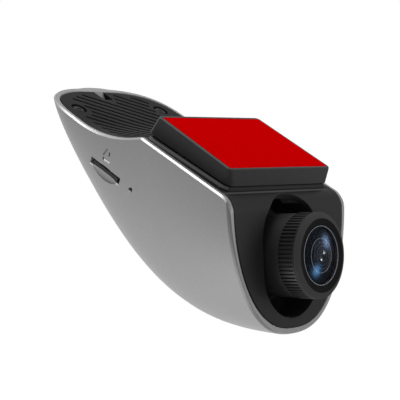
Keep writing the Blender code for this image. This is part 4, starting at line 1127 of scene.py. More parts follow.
def tunnel_mesh():
    """Sleeve round the slot that runs back to the ball, cut away under the sloping cover."""
    angle = full_turn(SLOT_STOPS)
    inner = slot_distance(angle)
    outer = slot_distance(angle, TUNNEL_WALL)
    reach = np.stack((inner, inner, outer, outer))
    front = FRONT_Y + PANEL_WALL - TUNNEL_LAP
    y = np.array([front, TUNNEL_END, TUNNEL_END, front])[:, None]
    ring = joined(reach * np.cos(angle), y, LENS_Z + reach * np.sin(angle))
    sleeve = grid_mesh("sleeve", ring, wrap_rows=True)
    side = np.array([(front - BLOCK_MARGIN, 0.0), (TUNNEL_END + BLOCK_MARGIN, 0.0)])
    low = KINK_Z + RAMP_SLOPE * (side[:, 0] - KINK_Y) - COVER_GAP
    above = np.concatenate((joined(side[:, 0], low), side[::-1] + (0.0, BLOCK_RISE)))
    block = grid_mesh("block", bar(above, -BLOCK_HALF, BLOCK_HALF), caps=True)
    return carved(sleeve, [("DIFFERENCE", block)])


PANEL_MESH = grid_mesh("front_panel", panel_points(), wrap_rows=True)
PANEL_MESH = carved(PANEL_MESH, [("UNION", tunnel_mesh())])
# The sleeve's faces are painted lighter, as light inside the slot.
store_mask(PANEL_MESH, "sleeve", face_frames(PANEL_MESH)[0][:, 1] > FRONT_Y + 2.0 * PANEL_WALL)
piece("front_face", PANEL_MESH, FACE_PLASTIC, "housing", "black_plastic", "front_panel")

# %% [markdown]
# ## Mounting plate, tape and red film
# The plate is a low wedge with softly rounded edges: its top follows the windscreen and its base
# follows the ramp. It could be a bevelled box, but its outline changes from base to top. So rings of
# equal length, one above the other, carry the outline from the base over the rounded top edge
# into the pocket that holds the tape.

# %% Mounting plate
PAD_LENGTH = 28.8
PAD_REAR = 45.3
PAD_FRONT = 47.0
PLATE_TOP = -0.03
POCKET_FLOOR = -1.2
PLATE_BASE = ((-17.1, -4.5), (17.1, -6.1))
PLATE_FLARE = (2.7, 2.7, 0.9)
PLATE_BASE_CORNER = 2.8
PLATE_CORNER = 1.3
PLATE_MARGIN = 1.0
PLATE_SOFT = 0.1
PLATE_HALF = 24.0
POCKET_GAP = 0.1
CORNER_STEPS = 8
EDGE_STOPS = 6
EDGE_OUT = 0.6
EDGE_DRAW = 0.3
BASE_DRAW = 0.25
SIDE_SHARES = (0.3, 0.6, 0.97)
LIP_SIDEWAYS = 0.2
LIP_UPWARD = 0.3
FILM_CORNER = 0.6


def on_glass(points):
    """Points given across, up the slope and above the windscreen's plane, in the object's frame."""
    return tilted(points, (0.0, 0.0, 0.0))


def at_height(ring, height):
    """Ring of points in a plane, lifted to one height or to a height for each point."""
    return joined(ring[:, 0], ring[:, 1], height)


def pad_ring(margin, radius, rear=0.0, front=0.0, side=0.0):
    """Rounded outline of the adhesive face, grown by a margin and by flares of its own."""
    half = 0.5 * PAD_LENGTH + margin
    near = 0.5 * PAD_FRONT + margin + side
    far = 0.5 * PAD_REAR + margin + side
    low, high = -half - front, half + rear
    corners = [(-near, low), (near, low), (far, high), (-far, high)]
    return rounded_ring(corners, radius, CORNER_STEPS)


def plate_base_height(along):
    """Height of the plate's underside below the windscreen, deeper towards the rear."""
    front, rear = PLATE_BASE
    return front[1] + (rear[1] - front[1]) * (along - front[0]) / (rear[0] - front[0])


def plate_points():
    """Rings from the pocket's floor out over the lip, down the sides and under the base."""
    base = pad_ring(0.0, PLATE_BASE_CORNER, *PLATE_FLARE)
    lip = pad_ring(PLATE_MARGIN, PLATE_CORNER)
    pocket = pad_ring(POCKET_GAP, FILM_CORNER)
    bottom = plate_base_height(base[:, 1])

    def between(share, height_share, inset=0.0):
        """Ring at shares of the way from the lip to the base, outwards and down, and drawn in."""
        ring = lip + (base - lip) * share
        centre = ring.mean(axis=0)
        drawn = centre + (ring - centre) * (1.0 - inset / PLATE_HALF)
        return at_height(drawn, PLATE_TOP + (bottom - PLATE_TOP) * height_share)

    rows = [at_height(pocket, POCKET_FLOOR), at_height(pocket, PLATE_TOP)]
    for turn in np.linspace(0.0, 0.5 * math.pi, EDGE_STOPS):
        fall = PLATE_SOFT * (1.0 - math.cos(turn))
        rows.append(between(fall * EDGE_OUT, fall, EDGE_DRAW * (1.0 - math.sin(turn))))
    rows += [between(share, share) for share in SIDE_SHARES]
    return np.stack(rows + [between(1.0, 1.0, BASE_DRAW)])


PLATE_MESH = grid_mesh("mounting_plate", on_glass(plate_points()), caps=True)
# The upward faces of the lip on the card side are painted paler, as a highlight.
PLATE_NORMALS = face_frames(PLATE_MESH)[1]
CARD_SIDE = PLATE_NORMALS[:, 0] < -LIP_SIDEWAYS
store_mask(PLATE_MESH, "lip", CARD_SIDE & (PLATE_NORMALS[:, 2] > LIP_UPWARD))
piece("plate", PLATE_MESH, BLACK_PLASTIC, "housing", "black_plastic", "mounting_plate")

# %% [markdown]
# Tape and film are thin sheets with the outline of the adhesive face. A flat face would do from
# above, but the edge shows from the side, so each sheet has its thickness and a softened edge.

# %% Tape and film


def film_points(ring, low, high, soft):
    """Thin sheet with a slightly softened edge, as rings from under its middle to over it."""
    centre = ring.mean(axis=0)
    shares = np.array([0.0, 0.6, 1.0, 1.0, 0.995, 0.98, 0.6, 0.0])
    heights = np.array([low, low, low, high - soft, high - 0.3 * soft, high, high, high])
    rows = centre + (ring - centre)[None] * shares[:, None, None]
    return np.stack([at_height(row, height) for row, height in zip(rows, heights)])


FILM_RING = pad_ring(0.0, FILM_CORNER)
FILM_POINTS = film_points(FILM_RING, low=-0.2, high=0.0, soft=0.08)
FILM_MESH = grid_mesh("release_film", on_glass(FILM_POINTS))
piece("film", FILM_MESH, RED_FILM, "housing", "red_film", "release_film")
TAPE_POINTS = film_points(FILM_RING, low=-1.15, high=-0.25, soft=0.1)
TAPE_MESH = grid_mesh("foam_tape", on_glass(TAPE_POINTS))
piece("tape", TAPE_MESH, FOAM, "housing", "foam", "foam_tape")

# %% [markdown]
# ## The cover and its grooved deck
# Behind the plate the black cover is a sheet that follows the rim's curve, with parallel grooves
# cut across it at a slant. Each groove could be a cut of its own, but dozens of cuts are slow. So
# the grid of this sheet is laid along and across the grooves, and every groove is a trough with
# round ends in the sheet itself. First come the lines: a groove runs where the deck is free, and
# breaks off near the screw wells, the notch and the edge.

# %% Lines of the grooves
COVER_INSET = 2.05
GROOVE_TURN = math.radians(-31.0)
GROOVE_PITCH = 2.7
GROOVE_OFFSET = 40.3
GROOVE_HALF = 0.575
GROOVE_FIELD = (6.1, 3.6, 18.4)
GROOVE_CLEARANCE = 1.3
GROOVE_SCAN = np.arange(-60.0, 60.0, 0.1)
SHORTEST_GROOVE = 4.0 * GROOVE_HALF
WELL_X = 18.9
WELL_Y = 48.5
WELL_RADIUS = 2.5
NOTCH_HALF = 2.1
NOTCH_START = 53.6


def plan_half(y, inset, tail_inset):
    """Half-width in plan at a distance along the hull, drawn in at the sides and at the tail."""
    share = np.clip((y - FRONT_Y) / (TAIL_START - FRONT_Y), 0.0, 1.0)
    width = FRONT_HALF + (REAR_HALF - FRONT_HALF) * share - inset
    reach = np.clip((y - TAIL_START) / (TAIL_Y - tail_inset - TAIL_START), 0.0, 1.0)
    return width * np.maximum(1.0 - reach ** TAIL_POWER, 0.0) ** (1.0 / TAIL_POWER)


def in_groove_field(x, y):
    """Whether a place may be grooved: inside the field, clear of the wells and of the notch."""
    side, tail, front = GROOVE_FIELD
    inside = (y > front) & (y < TAIL_Y - tail) & (np.abs(x) < plan_half(y, side, tail))
    clear = np.hypot(np.abs(x) - WELL_X, y - WELL_Y) > WELL_RADIUS + GROOVE_CLEARANCE
    open_deck = (np.abs(x) > NOTCH_HALF + GROOVE_CLEARANCE) | (y < NOTCH_START - GROOVE_CLEARANCE)
    return inside & clear & open_deck


def along_grooves(run, across):
    """Plan position from the distance along the grooves and the offset across them."""
    cos, sin = math.cos(GROOVE_TURN), math.sin(GROOVE_TURN)
    return run * cos - across * sin, run * sin + across * cos


def groove_runs(offset):
    """Starts and ends of the unbroken stretches of one groove line."""
    inside = in_groove_field(*along_grooves(GROOVE_SCAN, offset)).astype(int)
    change = np.diff(np.concatenate(([0], inside, [0])))
    starts = GROOVE_SCAN[np.flatnonzero(change == 1)]
    ends = GROOVE_SCAN[np.flatnonzero(change == -1) - 1]
    return [(s, e) for s, e in zip(starts, ends) if e - s > SHORTEST_GROOVE]


print("unbroken stretches of the middle groove:", len(groove_runs(GROOVE_OFFSET)))

# %% [markdown]
# The sheet's top drops into a trough along each stretch. Its stations are close together at the
# walls of the grooves and wide apart elsewhere, so that the walls are crisp and the mesh stays
# small. A plain underside closes it.

# %% Grooved sheet
COVER_DROP = 0.1
COVER_WALL = 1.8
GROOVE_DEPTH = 0.8
GROOVE_SOFT = 0.12
GROOVE_LINES = (-14, 10)
SHEET_HALF = 47.0
SHEET_STEP = 0.25
SHEET_END = 70.0
UNDER_STOPS = 24


def groove_drop(run, across):
    """Depth of the nearest groove: a trough whose ends are half circles."""
    drop = np.zeros(np.broadcast(run, across).shape)
    first = int(math.floor((across.min() - GROOVE_OFFSET) / GROOVE_PITCH))
    last = int(math.ceil((across.max() - GROOVE_OFFSET) / GROOVE_PITCH))
    for i in range(first, last + 1):
        offset = GROOVE_OFFSET + i * GROOVE_PITCH
        for start, end in groove_runs(offset):
            before, after = start + GROOVE_HALF - run, run - end + GROOVE_HALF
            away = np.hypot(np.maximum(np.maximum(before, after), 0.0), across - offset)
            fall = np.clip((GROOVE_HALF - away) / GROOVE_SOFT, 0.0, 1.0)
            drop = np.maximum(drop, GROOVE_DEPTH * fall)
    return drop


def groove_stations():
    """Offsets across the grooves, close together at the groove walls and wide apart elsewhere."""
    wall = np.array([0.0, GROOVE_SOFT])
    middle, between = [0.0], [0.5 * GROOVE_PITCH]
    one = np.concatenate((-GROOVE_HALF + wall, middle, GROOVE_HALF - wall[::-1], between))
    count = np.arange(*GROOVE_LINES)[:, None] * GROOVE_PITCH
    return (GROOVE_OFFSET + count + one[None, :]).ravel()


def deck_height(y):
    """Height of the cover's plain top, a little below the rim."""
    return rim_reference(np.clip(y, KINK_Y, SHEET_END)) - COVER_DROP


def deck_points():
    """One closed ring per station along the grooves: the grooved top, then a plain underside."""
    across = groove_stations()[None, :]
    run = np.arange(-SHEET_HALF, SHEET_HALF, SHEET_STEP)[:, None]
    x, y = along_grooves(run, across)
    top = deck_height(y) - groove_drop(run, across)
    below = np.linspace(across.max(), across.min(), UNDER_STOPS)[None, :]
    low_x, low_y = along_grooves(run, below)
    low = deck_height(low_y) - COVER_WALL
    upper = joined(x, y, top)
    lower = joined(low_x, low_y, low)
    return np.concatenate((upper, lower), axis=1)


SHEET_MESH = grid_mesh("deck", deck_points(), caps=True)
print("sheet faces:", len(SHEET_MESH.polygons))

# %% [markdown]
# The sheet is then trimmed to the shell's opening with a prism over its plan, and the screw wells
# and the cable notch are cut.

# %% Deck with its wells and notch
WELL_DEPTH = 0.9
WELL_SOFT = 0.15
WELL_FLARE = 0.25
WELL_TOP = 4.0
HOLE_RADIUS = 1.1
HOLE_ENDS = (-3.0, 1.0)
DECK_START = 15.5
SIDE_STOPS = 24
END_STOPS = 60
PRISM_HEIGHTS = (-20.0, 60.0)
NOTCH_END = 66.0
NOTCH_HEIGHTS = (0.0, 60.0)


def upright_prism(name, ring, heights):
    """Prism over a ring of plan points between two heights."""
    rows = np.stack([at_height(ring, height) for height in heights])
    return grid_mesh(name, rows, caps=True)


def opening_ring():
    """Plan outline of the shell's opening, from the deck's start round the tail."""
    tail_length = TAIL_Y - COVER_INSET - TAIL_START
    bend = np.sin(np.linspace(0.0, 0.5 * math.pi, END_STOPS)) ** (2.0 / TAIL_POWER)
    y = np.concatenate((
        np.linspace(DECK_START, TAIL_START, SIDE_STOPS),
        TAIL_START + tail_length * bend[1:],
    ))
    x = plan_half(y, COVER_INSET, COVER_INSET)
    x[-1] = 0.0
    return np.concatenate((joined(x, y), joined(-x, y)[-2::-1]))


def notch_ring():
    """Plan outline of the cable notch."""
    return np.array([
        (-NOTCH_HALF, NOTCH_START),
        (NOTCH_HALF, NOTCH_START),
        (NOTCH_HALF, NOTCH_END),
        (-NOTCH_HALF, NOTCH_END),
    ])


def well_place(points, side):
    """Points given across, up the deck and above it at one screw well."""
    height = float(rim_reference(WELL_Y)) - COVER_DROP
    return tilted(points, (side * WELL_X, WELL_Y, height))


def spun(profile, count=48):
    """Rows of rings from a profile of (radius, height) points, about the third axis."""
    turn = full_turn(count)[None, :]
    profile = np.asarray(profile, float)
    radius, height = profile[:, :1], profile[:, 1:]
    return joined(radius * np.cos(turn), radius * np.sin(turn), height)


def deck_mesh():
    """Grooved sheet trimmed to the opening, with its wells, screw holes and cable notch."""
    steps = [("INTERSECT", upright_prism("opening", opening_ring(), PRISM_HEIGHTS))]
    well = [
        (0.0, -WELL_DEPTH),
        (WELL_RADIUS - WELL_SOFT, -WELL_DEPTH),
        (WELL_RADIUS, -WELL_DEPTH + WELL_SOFT),
        (WELL_RADIUS, -WELL_SOFT),
        (WELL_RADIUS + WELL_FLARE, 0.1),
        (WELL_RADIUS + WELL_FLARE, WELL_TOP),
        (0.0, WELL_TOP),
    ]
    low, high = HOLE_ENDS
    hole = [(0.0, low), (HOLE_RADIUS, low), (HOLE_RADIUS, high), (0.0, high)]
    for side in (-1.0, 1.0):
        for tool in (well, hole):
            place = well_place(spun(tool), side)
            steps.append(("DIFFERENCE", grid_mesh("well", place)))
    steps.append(("DIFFERENCE", upright_prism("notch", notch_ring(), NOTCH_HEIGHTS)))
    return carved(SHEET_MESH, steps)


DECK_MESH = deck_mesh()
print("deck faces:", len(DECK_MESH.polygons))

# %% [markdown]
# Under the plate the cover is a plain ramp with a raised seat. The seat is a little larger than the
# plate and its edge is bevelled. The bevel is painted paler as a highlight, which shows as a pale
# line beside the plate. A bevel modifier would round every edge of the cover, so the seat's rings
# carry their own.

# %% Ramp and seat
SEAT_GAP = 0.35
SEAT_MARGIN = 0.7
SEAT_BEVEL = 0.8
SEAT_THICKNESS = 2.6
SEAT_START = 0.1
SEAT_STOP = 1.2
SEAT_CORNER = 2.8
SEAT_MIDDLE = 4.0
COVER_FRONT = -11.3
RAMP_LAP = 1.4


def ramp_mesh():
    """Flat sheet under the ramp of the rim, as wide as the opening."""
    y = np.array([COVER_FRONT, KINK_Y, KINK_Y + RAMP_LAP])
    half = plan_half(y, COVER_INSET, COVER_INSET)
    top = np.array([*(KINK_Z + RAMP_SLOPE * (y[:2] - KINK_Y)), KINK_Z]) - COVER_DROP
    left = joined(-half, y, top)
    right = left * (-1.0, 1.0, 1.0)
    down = np.array([0.0, 0.0, COVER_WALL])
    rings = np.stack((left, right, right - down, left - down), axis=1)
    return grid_mesh("ramp", rings, caps=True)


def on_seat(points):
    """Points given across, along and above the plate's underside."""
    front = on_glass(np.array([0.0, *PLATE_BASE[0]]))
    rear = on_glass(np.array([0.0, *PLATE_BASE[1]]))
    along = (rear - front)[1:] / np.linalg.norm(rear - front)
    y = front[1] + points[..., 1] * along[0] - points[..., 2] * along[1]
    z = front[2] + points[..., 1] * along[1] + points[..., 2] * along[0]
    return joined(points[..., 0], y, z)


def seat_mesh():
    """Rings of the seat's outline: straight sides, a rounded bevel and a flat top."""
    length = np.linalg.norm(np.subtract(PLATE_BASE[1], PLATE_BASE[0]))
    half = 0.5 * PAD_FRONT + PLATE_FLARE[2] + SEAT_MARGIN
    insets_and_falls = (
        (0.0, SEAT_THICKNESS),
        (0.0, SEAT_BEVEL + 0.1),
        (0.06, SEAT_BEVEL - 0.1),
        (SEAT_MARGIN - 0.1, 0.06),
        (SEAT_MARGIN + 0.1, 0.0),
        (half - SEAT_MIDDLE, 0.0),
    )
    rows = []
    for inset, fall in insets_and_falls:
        reach = min(inset, 0.5 * length - SEAT_MIDDLE)
        side, near, far = half - inset, SEAT_START + reach, length - SEAT_STOP - reach
        corners = [(-side, near), (side, near), (side, far), (-side, far)]
        ring = rounded_ring(corners, SEAT_CORNER, CORNER_STEPS)
        rows.append(at_height(ring, -SEAT_GAP - fall))
    return grid_mesh("seat", on_seat(np.stack(rows)), caps=True)


print("seat margin and bevel in mm:", SEAT_MARGIN, SEAT_BEVEL)

# %% [markdown]
# The ramp takes the seat, a cut with the lens slot's outline clears the way for the neck, and the
# deck takes both. Masks mark the ramp, the bevel and the lining of the slot, which are painted paler
# than the deck as painted light.

# %% Whole cover
SLOT_TIGHTER = -0.4
SLOT_CUT_START = -20.0
SLOT_NEAR = 0.5
SIDEWAYS = (0.3, 0.95)
UPWARD = 0.2


def slot_prism():
    """Prism with the lens slot's outline, a little tighter, from ahead of the hull to the sleeve."""
    angle = full_turn(SLOT_STOPS)
    reach = slot_distance(angle, SLOT_TIGHTER)
    x, z = reach * np.cos(angle), LENS_Z + reach * np.sin(angle)
    rows = [joined(x, y, z) for y in (SLOT_CUT_START, TUNNEL_END)]
    return grid_mesh("slot_prism", np.stack(rows), caps=True)


def on_seat_bevel(mesh):
    """Mask of the slanted edge along both sides of the seat, painted paler as a highlight."""
    centre, normal = face_frames(mesh)
    sideways = np.abs(normal[:, 0])
    slanted = (sideways > SIDEWAYS[0]) & (sideways < SIDEWAYS[1]) & (normal[:, 2] > UPWARD)
    return slanted & (centre[:, 1] < KINK_Y)


def in_lens_slot(mesh):
    """Mask of the faces that line the lens slot, which are painted lighter as light inside it."""
    centre, normal = face_frames(mesh)
    angle = np.arctan2(centre[:, 2] - LENS_Z, centre[:, 0])
    away = np.hypot(centre[:, 0], centre[:, 2] - LENS_Z)
    inside = (centre[:, 1] < TUNNEL_END + SLOT_NEAR) & (away < slot_distance(angle, SLOT_NEAR))
    return inside & (normal[:, 2] < 0.0)


RAMP_MESH = carved(ramp_mesh(), [("UNION", seat_mesh()), ("DIFFERENCE", slot_prism())])
COVER_MESH = carved(DECK_MESH, [("UNION", RAMP_MESH)])
store_mask(COVER_MESH, "ramp", face_frames(COVER_MESH)[0][:, 1] < KINK_Y)
store_mask(COVER_MESH, "bevel", on_seat_bevel(COVER_MESH))
store_mask(COVER_MESH, "sleeve", in_lens_slot(COVER_MESH))
piece("cover", COVER_MESH, DECK_PLASTIC, "housing", "deck_plastic", "top_cover")

# %% [markdown]
# Two dark pan-head screws sit in the wells and hold the cover. A screw is a spun profile, and its
# cross recess is two crossed bars that narrow with depth.

# %% Screws in the wells
SCREW_HEAD = 1.9
SCREW_SHANK = 0.75
RECESS_LONG = 1.1
RECESS_SHORT = 0.22


def deck_screw(side):
    """Pan-head screw with a cross recess, in the well on one side of the deck."""
    seat = -WELL_DEPTH + 0.05
    profile = [
        (0.0, -4.6),
        (0.4, -4.5),
        (SCREW_SHANK, -4.1),
        (SCREW_SHANK, seat),
        (SCREW_HEAD, seat),
        (SCREW_HEAD, seat + 0.35),
        (0.93 * SCREW_HEAD, seat + 0.52),
        (0.75 * SCREW_HEAD, seat + 0.66),
        (0.0, seat + 0.72),
    ]
    head = grid_mesh("screw", well_place(spun(profile, count=64), side))
    steps = []
    for half_x, half_y in ((RECESS_LONG, RECESS_SHORT), (RECESS_SHORT, RECESS_LONG)):
        ring = np.array(rectangle(half_x, half_y))
        rows = np.stack((at_height(0.5 * ring, seat + 0.1), at_height(ring, seat + 1.0)))
        arm = grid_mesh("arm", well_place(rows, side), caps=True)
        steps.append(("DIFFERENCE", arm))
    return carved(head, steps)


for side, name in ((-1.0, "left"), (1.0, "right")):
    screw = deck_screw(side)
    piece(f"well_screw_{name}", screw, DARK_STEEL, "housing", "dark_steel", f"deck_screw_{name}")

# %% [markdown]
# ## The tilting lens
# Everything on the lens is turned: a profile of radius against distance ahead of the tilt axis,
# spun about the lens. A screw modifier could spin it, but a grid of rings gives the same surface
# and stays in numpy. The ball and its neck tilt in the slot, on two pins that lie on the tilt
# axis. All of it rides on the lens body.

# %% Ball, neck and pins
PIVOT_Y = 3.3
BALL_RADIUS = 16.2
BALL_WALL = 1.6
BALL_BACK = -9.0
NECK_RADIUS = 12.0
NECK_BORE = 10.4
TRUNNION_RADIUS = 2.0
TRUNNION_REACH = 18.75
TRUNNION_BORE = 0.85
TRUNNION_SOFT = 0.2
TRUNNION_LAP = 1.2
BORE_FLOOR = 0.2
NECK_END = 22.3


def on_lens(points):
    """Rings given across, up and ahead of the tilt axis, in the object's frame."""
    x, up, ahead = points[..., 0], points[..., 1], points[..., 2]
    return joined(x, PIVOT_Y - ahead, LENS_Z + up)


def turned(name, profile, count=128, closed=True):
    """Surface of a profile of (radius, ahead) spun about the lens; a closed profile is a ring."""
    return grid_mesh(name, on_lens(spun(profile, count)), wrap_rows=closed)


def sphere_arc(radius, first, last, count):
    """Profile points of a sphere about the tilt axis between two distances ahead of it."""
    turn = np.linspace(math.asin(first / radius), math.asin(last / radius), count)
    return joined(radius * np.cos(turn), radius * np.sin(turn))


def trunnion(side):
    """Short pin on the tilt axis with a screw bore in its end."""
    root, floor = BALL_RADIUS - TRUNNION_LAP, BALL_RADIUS + BORE_FLOOR
    profile = [
        (0.0, root),
        (TRUNNION_RADIUS, root),
        (TRUNNION_RADIUS, TRUNNION_REACH - TRUNNION_SOFT),
        (TRUNNION_RADIUS - TRUNNION_SOFT, TRUNNION_REACH),
        (TRUNNION_BORE, TRUNNION_REACH),
        (TRUNNION_BORE, floor),
        (0.0, floor),
    ]
    ring = spun(profile, count=40)
    place = joined(side * ring[..., 2], PIVOT_Y + ring[..., 0], LENS_Z + ring[..., 1])
    return grid_mesh("trunnion", place)


def turret_mesh():
    """Neck and ball as one closed profile, joined with the two trunnions."""
    inner = BALL_RADIUS - BALL_WALL
    shoulder = math.sqrt(BALL_RADIUS ** 2 - NECK_RADIUS ** 2)
    inner_shoulder = math.sqrt(inner ** 2 - NECK_BORE ** 2)
    profile = np.concatenate((
        [(NECK_BORE, NECK_END), (NECK_RADIUS - 0.2, NECK_END), (NECK_RADIUS, NECK_END - 0.2)],
        joined(NECK_RADIUS, np.linspace(NECK_END - 0.8, shoulder + 0.6, 12)),
        [(NECK_RADIUS + 0.05, shoulder + 0.25), (NECK_RADIUS + 0.3, shoulder - 0.25)],
        sphere_arc(BALL_RADIUS, shoulder - 0.7, BALL_BACK, 36),
        sphere_arc(inner, BALL_BACK, inner_shoulder, 20),
    ))
    ball = turned("lens_turret", profile)
    return carved(ball, [("UNION", trunnion(side)) for side in (-1.0, 1.0)])


piece("turret", turret_mesh(), NECK_BLACK, "lens_unit", "lens_black", "lens_turret")

# %% [markdown]
# The grip ring has straight grooves all round, so its radius also depends on the angle. The smooth
# bezel in front of it falls in to the glass, and ends in a fine bare bead.

# %% Grip ring and bezel
GRIP_RADIUS = 12.33
GRIP_DEPTH = 0.45
GRIP_COUNT = 66
STOPS_PER_GROOVE = 14
GRIP_SHARE = 0.26
GRIP_SLOPE = 0.1
FINE_TURN = 160
CONE_RADIUS = 10.45
BEAD_RADIUS = 8.46
BEZEL_PROFILE = [
    (NECK_BORE - 0.1, 27.2), (NECK_BORE - 0.1, 28.0), (GRIP_RADIUS - 0.1, 28.0),
    (GRIP_RADIUS, 28.06), (GRIP_RADIUS, 28.2), (GRIP_RADIUS - 0.06, 28.32),
    (GRIP_RADIUS - 0.25, 28.44), (11.5, 28.76), (10.9, 29.04), (10.62, 29.14), (10.5, 29.15),
    (10.4, 29.1), (9.6, 28.88), (8.5, 28.66), (8.47, 28.84), (8.4, 28.92), (8.32, 28.92),
    (8.25, 28.84), (8.25, 27.8),
]


def grip_mesh():
    """Ring whose radius dips in evenly spaced grooves between its back edge and a front band."""
    count = GRIP_COUNT * STOPS_PER_GROOVE
    turn = full_turn(count)[None, :]
    wave = np.abs((turn * GRIP_COUNT / (2.0 * math.pi) + 0.5) % 1.0 - 0.5)
    dip = np.clip((GRIP_SHARE - wave) / GRIP_SLOPE, 0.0, 1.0)
    rows = np.array([
        (NECK_BORE, 22.5, 0.0), (GRIP_RADIUS - 0.55, 22.5, 0.0), (GRIP_RADIUS - 0.12, 22.52, 1.0),
        (GRIP_RADIUS, 22.7, 1.0), (GRIP_RADIUS, 24.0, 1.0), (GRIP_RADIUS, 26.0, 1.0),
        (GRIP_RADIUS, 27.3, 1.0), (GRIP_RADIUS, 27.55, 0.0), (GRIP_RADIUS, 27.75, 0.0),
        (GRIP_RADIUS - 0.12, 27.9, 0.0), (NECK_BORE, 27.9, 0.0),
    ])
    radius = rows[:, :1] - GRIP_DEPTH * rows[:, 2:] * dip
    ring = joined(radius * np.cos(turn), radius * np.sin(turn), rows[:, 1:2])
    return grid_mesh("knurled_ring", on_lens(ring), wrap_rows=True)


def lens_radius(mesh):
    """Distance of every face from the lens axis."""
    centre = face_frames(mesh)[0]
    return np.hypot(centre[:, 0], centre[:, 2] - LENS_Z)


piece("grip_ring", grip_mesh(), LENS_BLACK, "lens_unit", "lens_black", "knurled_ring")
BEZEL_MESH = turned("lens_bezel", BEZEL_PROFILE, FINE_TURN)
store_mask(BEZEL_MESH, "cone", lens_radius(BEZEL_MESH) < CONE_RADIUS)
store_mask(BEZEL_MESH, "lit_ring", lens_radius(BEZEL_MESH) < BEAD_RADIUS)
piece("bezel", BEZEL_MESH, BEZEL_BLACK, "lens_unit", "lens_black", "lens_bezel")

# %% [markdown]
# ## The glass
# The front element is a thin clear meniscus, ground round its edge, whose film mirrors the two
# glows in blue. A ball could be cut to this shape, but its two domes and its edge are one profile,
# so it is turned like the rest.

# %% Front element
GLASS_RADIUS = 8.2
GLASS_EDGE = 28.9
GLASS_WALL = 0.7
DOME_RADIUS = 26.0


def dome(radius, count=24):
    """Profile points of the dome from its middle to a radius: sqrt(R^2 - r^2) above its edge."""
    reach = np.linspace(0.0, radius, count)
    rise = np.sqrt(DOME_RADIUS ** 2 - reach ** 2) - math.sqrt(DOME_RADIUS ** 2 - GLASS_RADIUS ** 2)
    return joined(reach, GLASS_EDGE + rise)


def meniscus_profile():
    """Dome, ground edge and the hollow back of the front element."""
    outer = dome(GLASS_RADIUS - 0.25)
    edge = np.array([(GLASS_RADIUS - 0.1, GLASS_EDGE - 0.02), (GLASS_RADIUS, GLASS_EDGE - 0.15)])
    back = dome(GLASS_RADIUS)[::-1] - (0.0, GLASS_WALL)
    return np.concatenate((outer, edge, back))


FRONT_MESH = turned("front_glass", meniscus_profile(), FINE_TURN, closed=False)
FRONT_GLASS = piece("front_element", FRONT_MESH, CLEAR_GLASS, "lens_unit", "glass", "front_glass")
shine_only_on(GLOW_LAMPS, FRONT_GLASS)

# %% [markdown]
# Behind the front element a black baffle steps inwards to a bare ring and to the second element, a
# dark low dome with fine rings, which mirrors the two sparks. A flat disc with painted rings would
# look right from one side only, so every step and ring is turned. The fine rings are also painted
# lighter, as painted light on them.

# %% Baffle and second element
SECOND_RADIUS = 4.7
LIT_RING_AHEAD = 28.66
SECOND_APEX = 29.42
SECOND_FALL = 0.52
SECOND_RINGS = (1.7, 2.8, 3.8)
RING_HALF = 0.11
RING_LIFT = 0.04
RING_SLOPE = 0.03
BAFFLE_STEPS = 7


def baffle_profile():
    """Stepped cone from the front element's edge in to the second element."""
    reach = np.linspace(GLASS_RADIUS - 0.1, SECOND_RADIUS + 0.45, BAFFLE_STEPS + 1)
    height = np.linspace(28.05, 28.6, BAFFLE_STEPS + 1)
    treads = []
    for i in range(BAFFLE_STEPS):
        treads += [(reach[i], height[i]), (reach[i + 1], height[i]), (reach[i + 1], height[i + 1])]
    ring = [
        (SECOND_RADIUS + 0.33, 28.62),
        (SECOND_RADIUS + 0.3, 28.84),
        (SECOND_RADIUS + 0.25, 28.9),
        (SECOND_RADIUS + 0.15, 28.9),
        (SECOND_RADIUS + 0.1, 28.84),
    ]
    back = [(SECOND_RADIUS + 0.1, 26.0), (GLASS_RADIUS - 0.1, 26.0)]
    return np.array(treads + ring + back)


def second_profile():
    """Low dome with fine raised rings, closed by a flat back."""
    reach = [0.0, 0.7]
    lift = [0.0, 0.0]
    for ring in SECOND_RINGS:
        near, far = ring - RING_HALF, ring + RING_HALF
        reach += [near - RING_SLOPE, near, far, far + RING_SLOPE]
        lift += [0.0, RING_LIFT, RING_LIFT, 0.0]
    reach = np.array(reach)
    top = SECOND_APEX - SECOND_FALL * (reach / SECOND_RADIUS) ** 2 + np.array(lift)
    back = [(SECOND_RADIUS, 28.86), (SECOND_RADIUS, 27.4), (2.5, 27.1), (0.0, 27.0)]
    return np.concatenate((joined(reach, top), back))


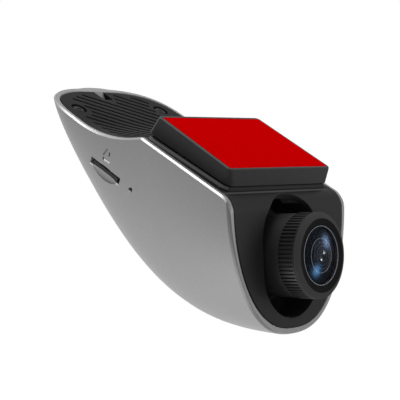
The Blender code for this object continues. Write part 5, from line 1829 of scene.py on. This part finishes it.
BAFFLE_MESH = turned("lens_spacer", baffle_profile(), FINE_TURN)
BAFFLE_AHEAD = PIVOT_Y - face_frames(BAFFLE_MESH)[0][:, 1]
store_mask(BAFFLE_MESH, "lit_ring", BAFFLE_AHEAD > LIT_RING_AHEAD)
piece("baffle", BAFFLE_MESH, BAFFLE_BLACK, "lens_unit", "lens_black", "lens_spacer")
SECOND_MESH = turned("middle_glass", second_profile(), closed=False)
RING_GAPS = np.abs(lens_radius(SECOND_MESH)[:, None] - np.array(SECOND_RINGS)[None])
# The fine rings are painted lighter, as light on them.
store_mask(SECOND_MESH, "painted_ring_light", RING_GAPS.min(axis=1) < RING_HALF)
MID_GLASS = piece("second_element", SECOND_MESH, COATED_GLASS, "lens_unit", "glass", "middle_glass")
shine_only_on(SPARK_LAMPS, MID_GLASS)

# %% [markdown]
# ## Finishes for the solids that stay
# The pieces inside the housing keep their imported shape, because no view shows them well. Each gets
# the finish of its kind, and left and right pieces share one.

# %% Finishes of the inner solids
INNER_FINISHES = {
    "lens_barrel": NECK_BLACK,
    "rear_glass": COATED_GLASS,
    "memory_card": CARD_BLACK,
    "card_connector": BARE_STEEL,
    "main_board": BOARD_GREEN,
    "sensor_board": BOARD_GREEN,
    "image_sensor": CHIP_BLACK,
    "processor": CHIP_BLACK,
    "memory_chip": CHIP_BLACK,
    "thermal_pad": SILICONE,
    "radio_module": BARE_STEEL,
    "power_header": CARD_BLACK,
    "backup_capacitor": CAN_METAL,
    "microphone": BARE_STEEL,
    "microphone_boot": RUBBER,
}
PAIRED_FINISHES = {
    "pivot_bracket": BLACK_PLASTIC,
    "sensor_screw": BARE_STEEL,
    "pivot_screw": BARE_STEEL,
    "friction_washer": RUBBER,
}
for pair, finish in PAIRED_FINISHES.items():
    for side in ("left", "right"):
        INNER_FINISHES[f"{pair}_{side}"] = finish
for number in range(1, 5):
    INNER_FINISHES[f"board_screw_{number}"] = BARE_STEEL
for node, finish in INNER_FINISHES.items():
    NODES[node].data.materials.clear()
    NODES[node].data.materials.append(finish)
print("inner solids with a finish:", len(INNER_FINISHES))
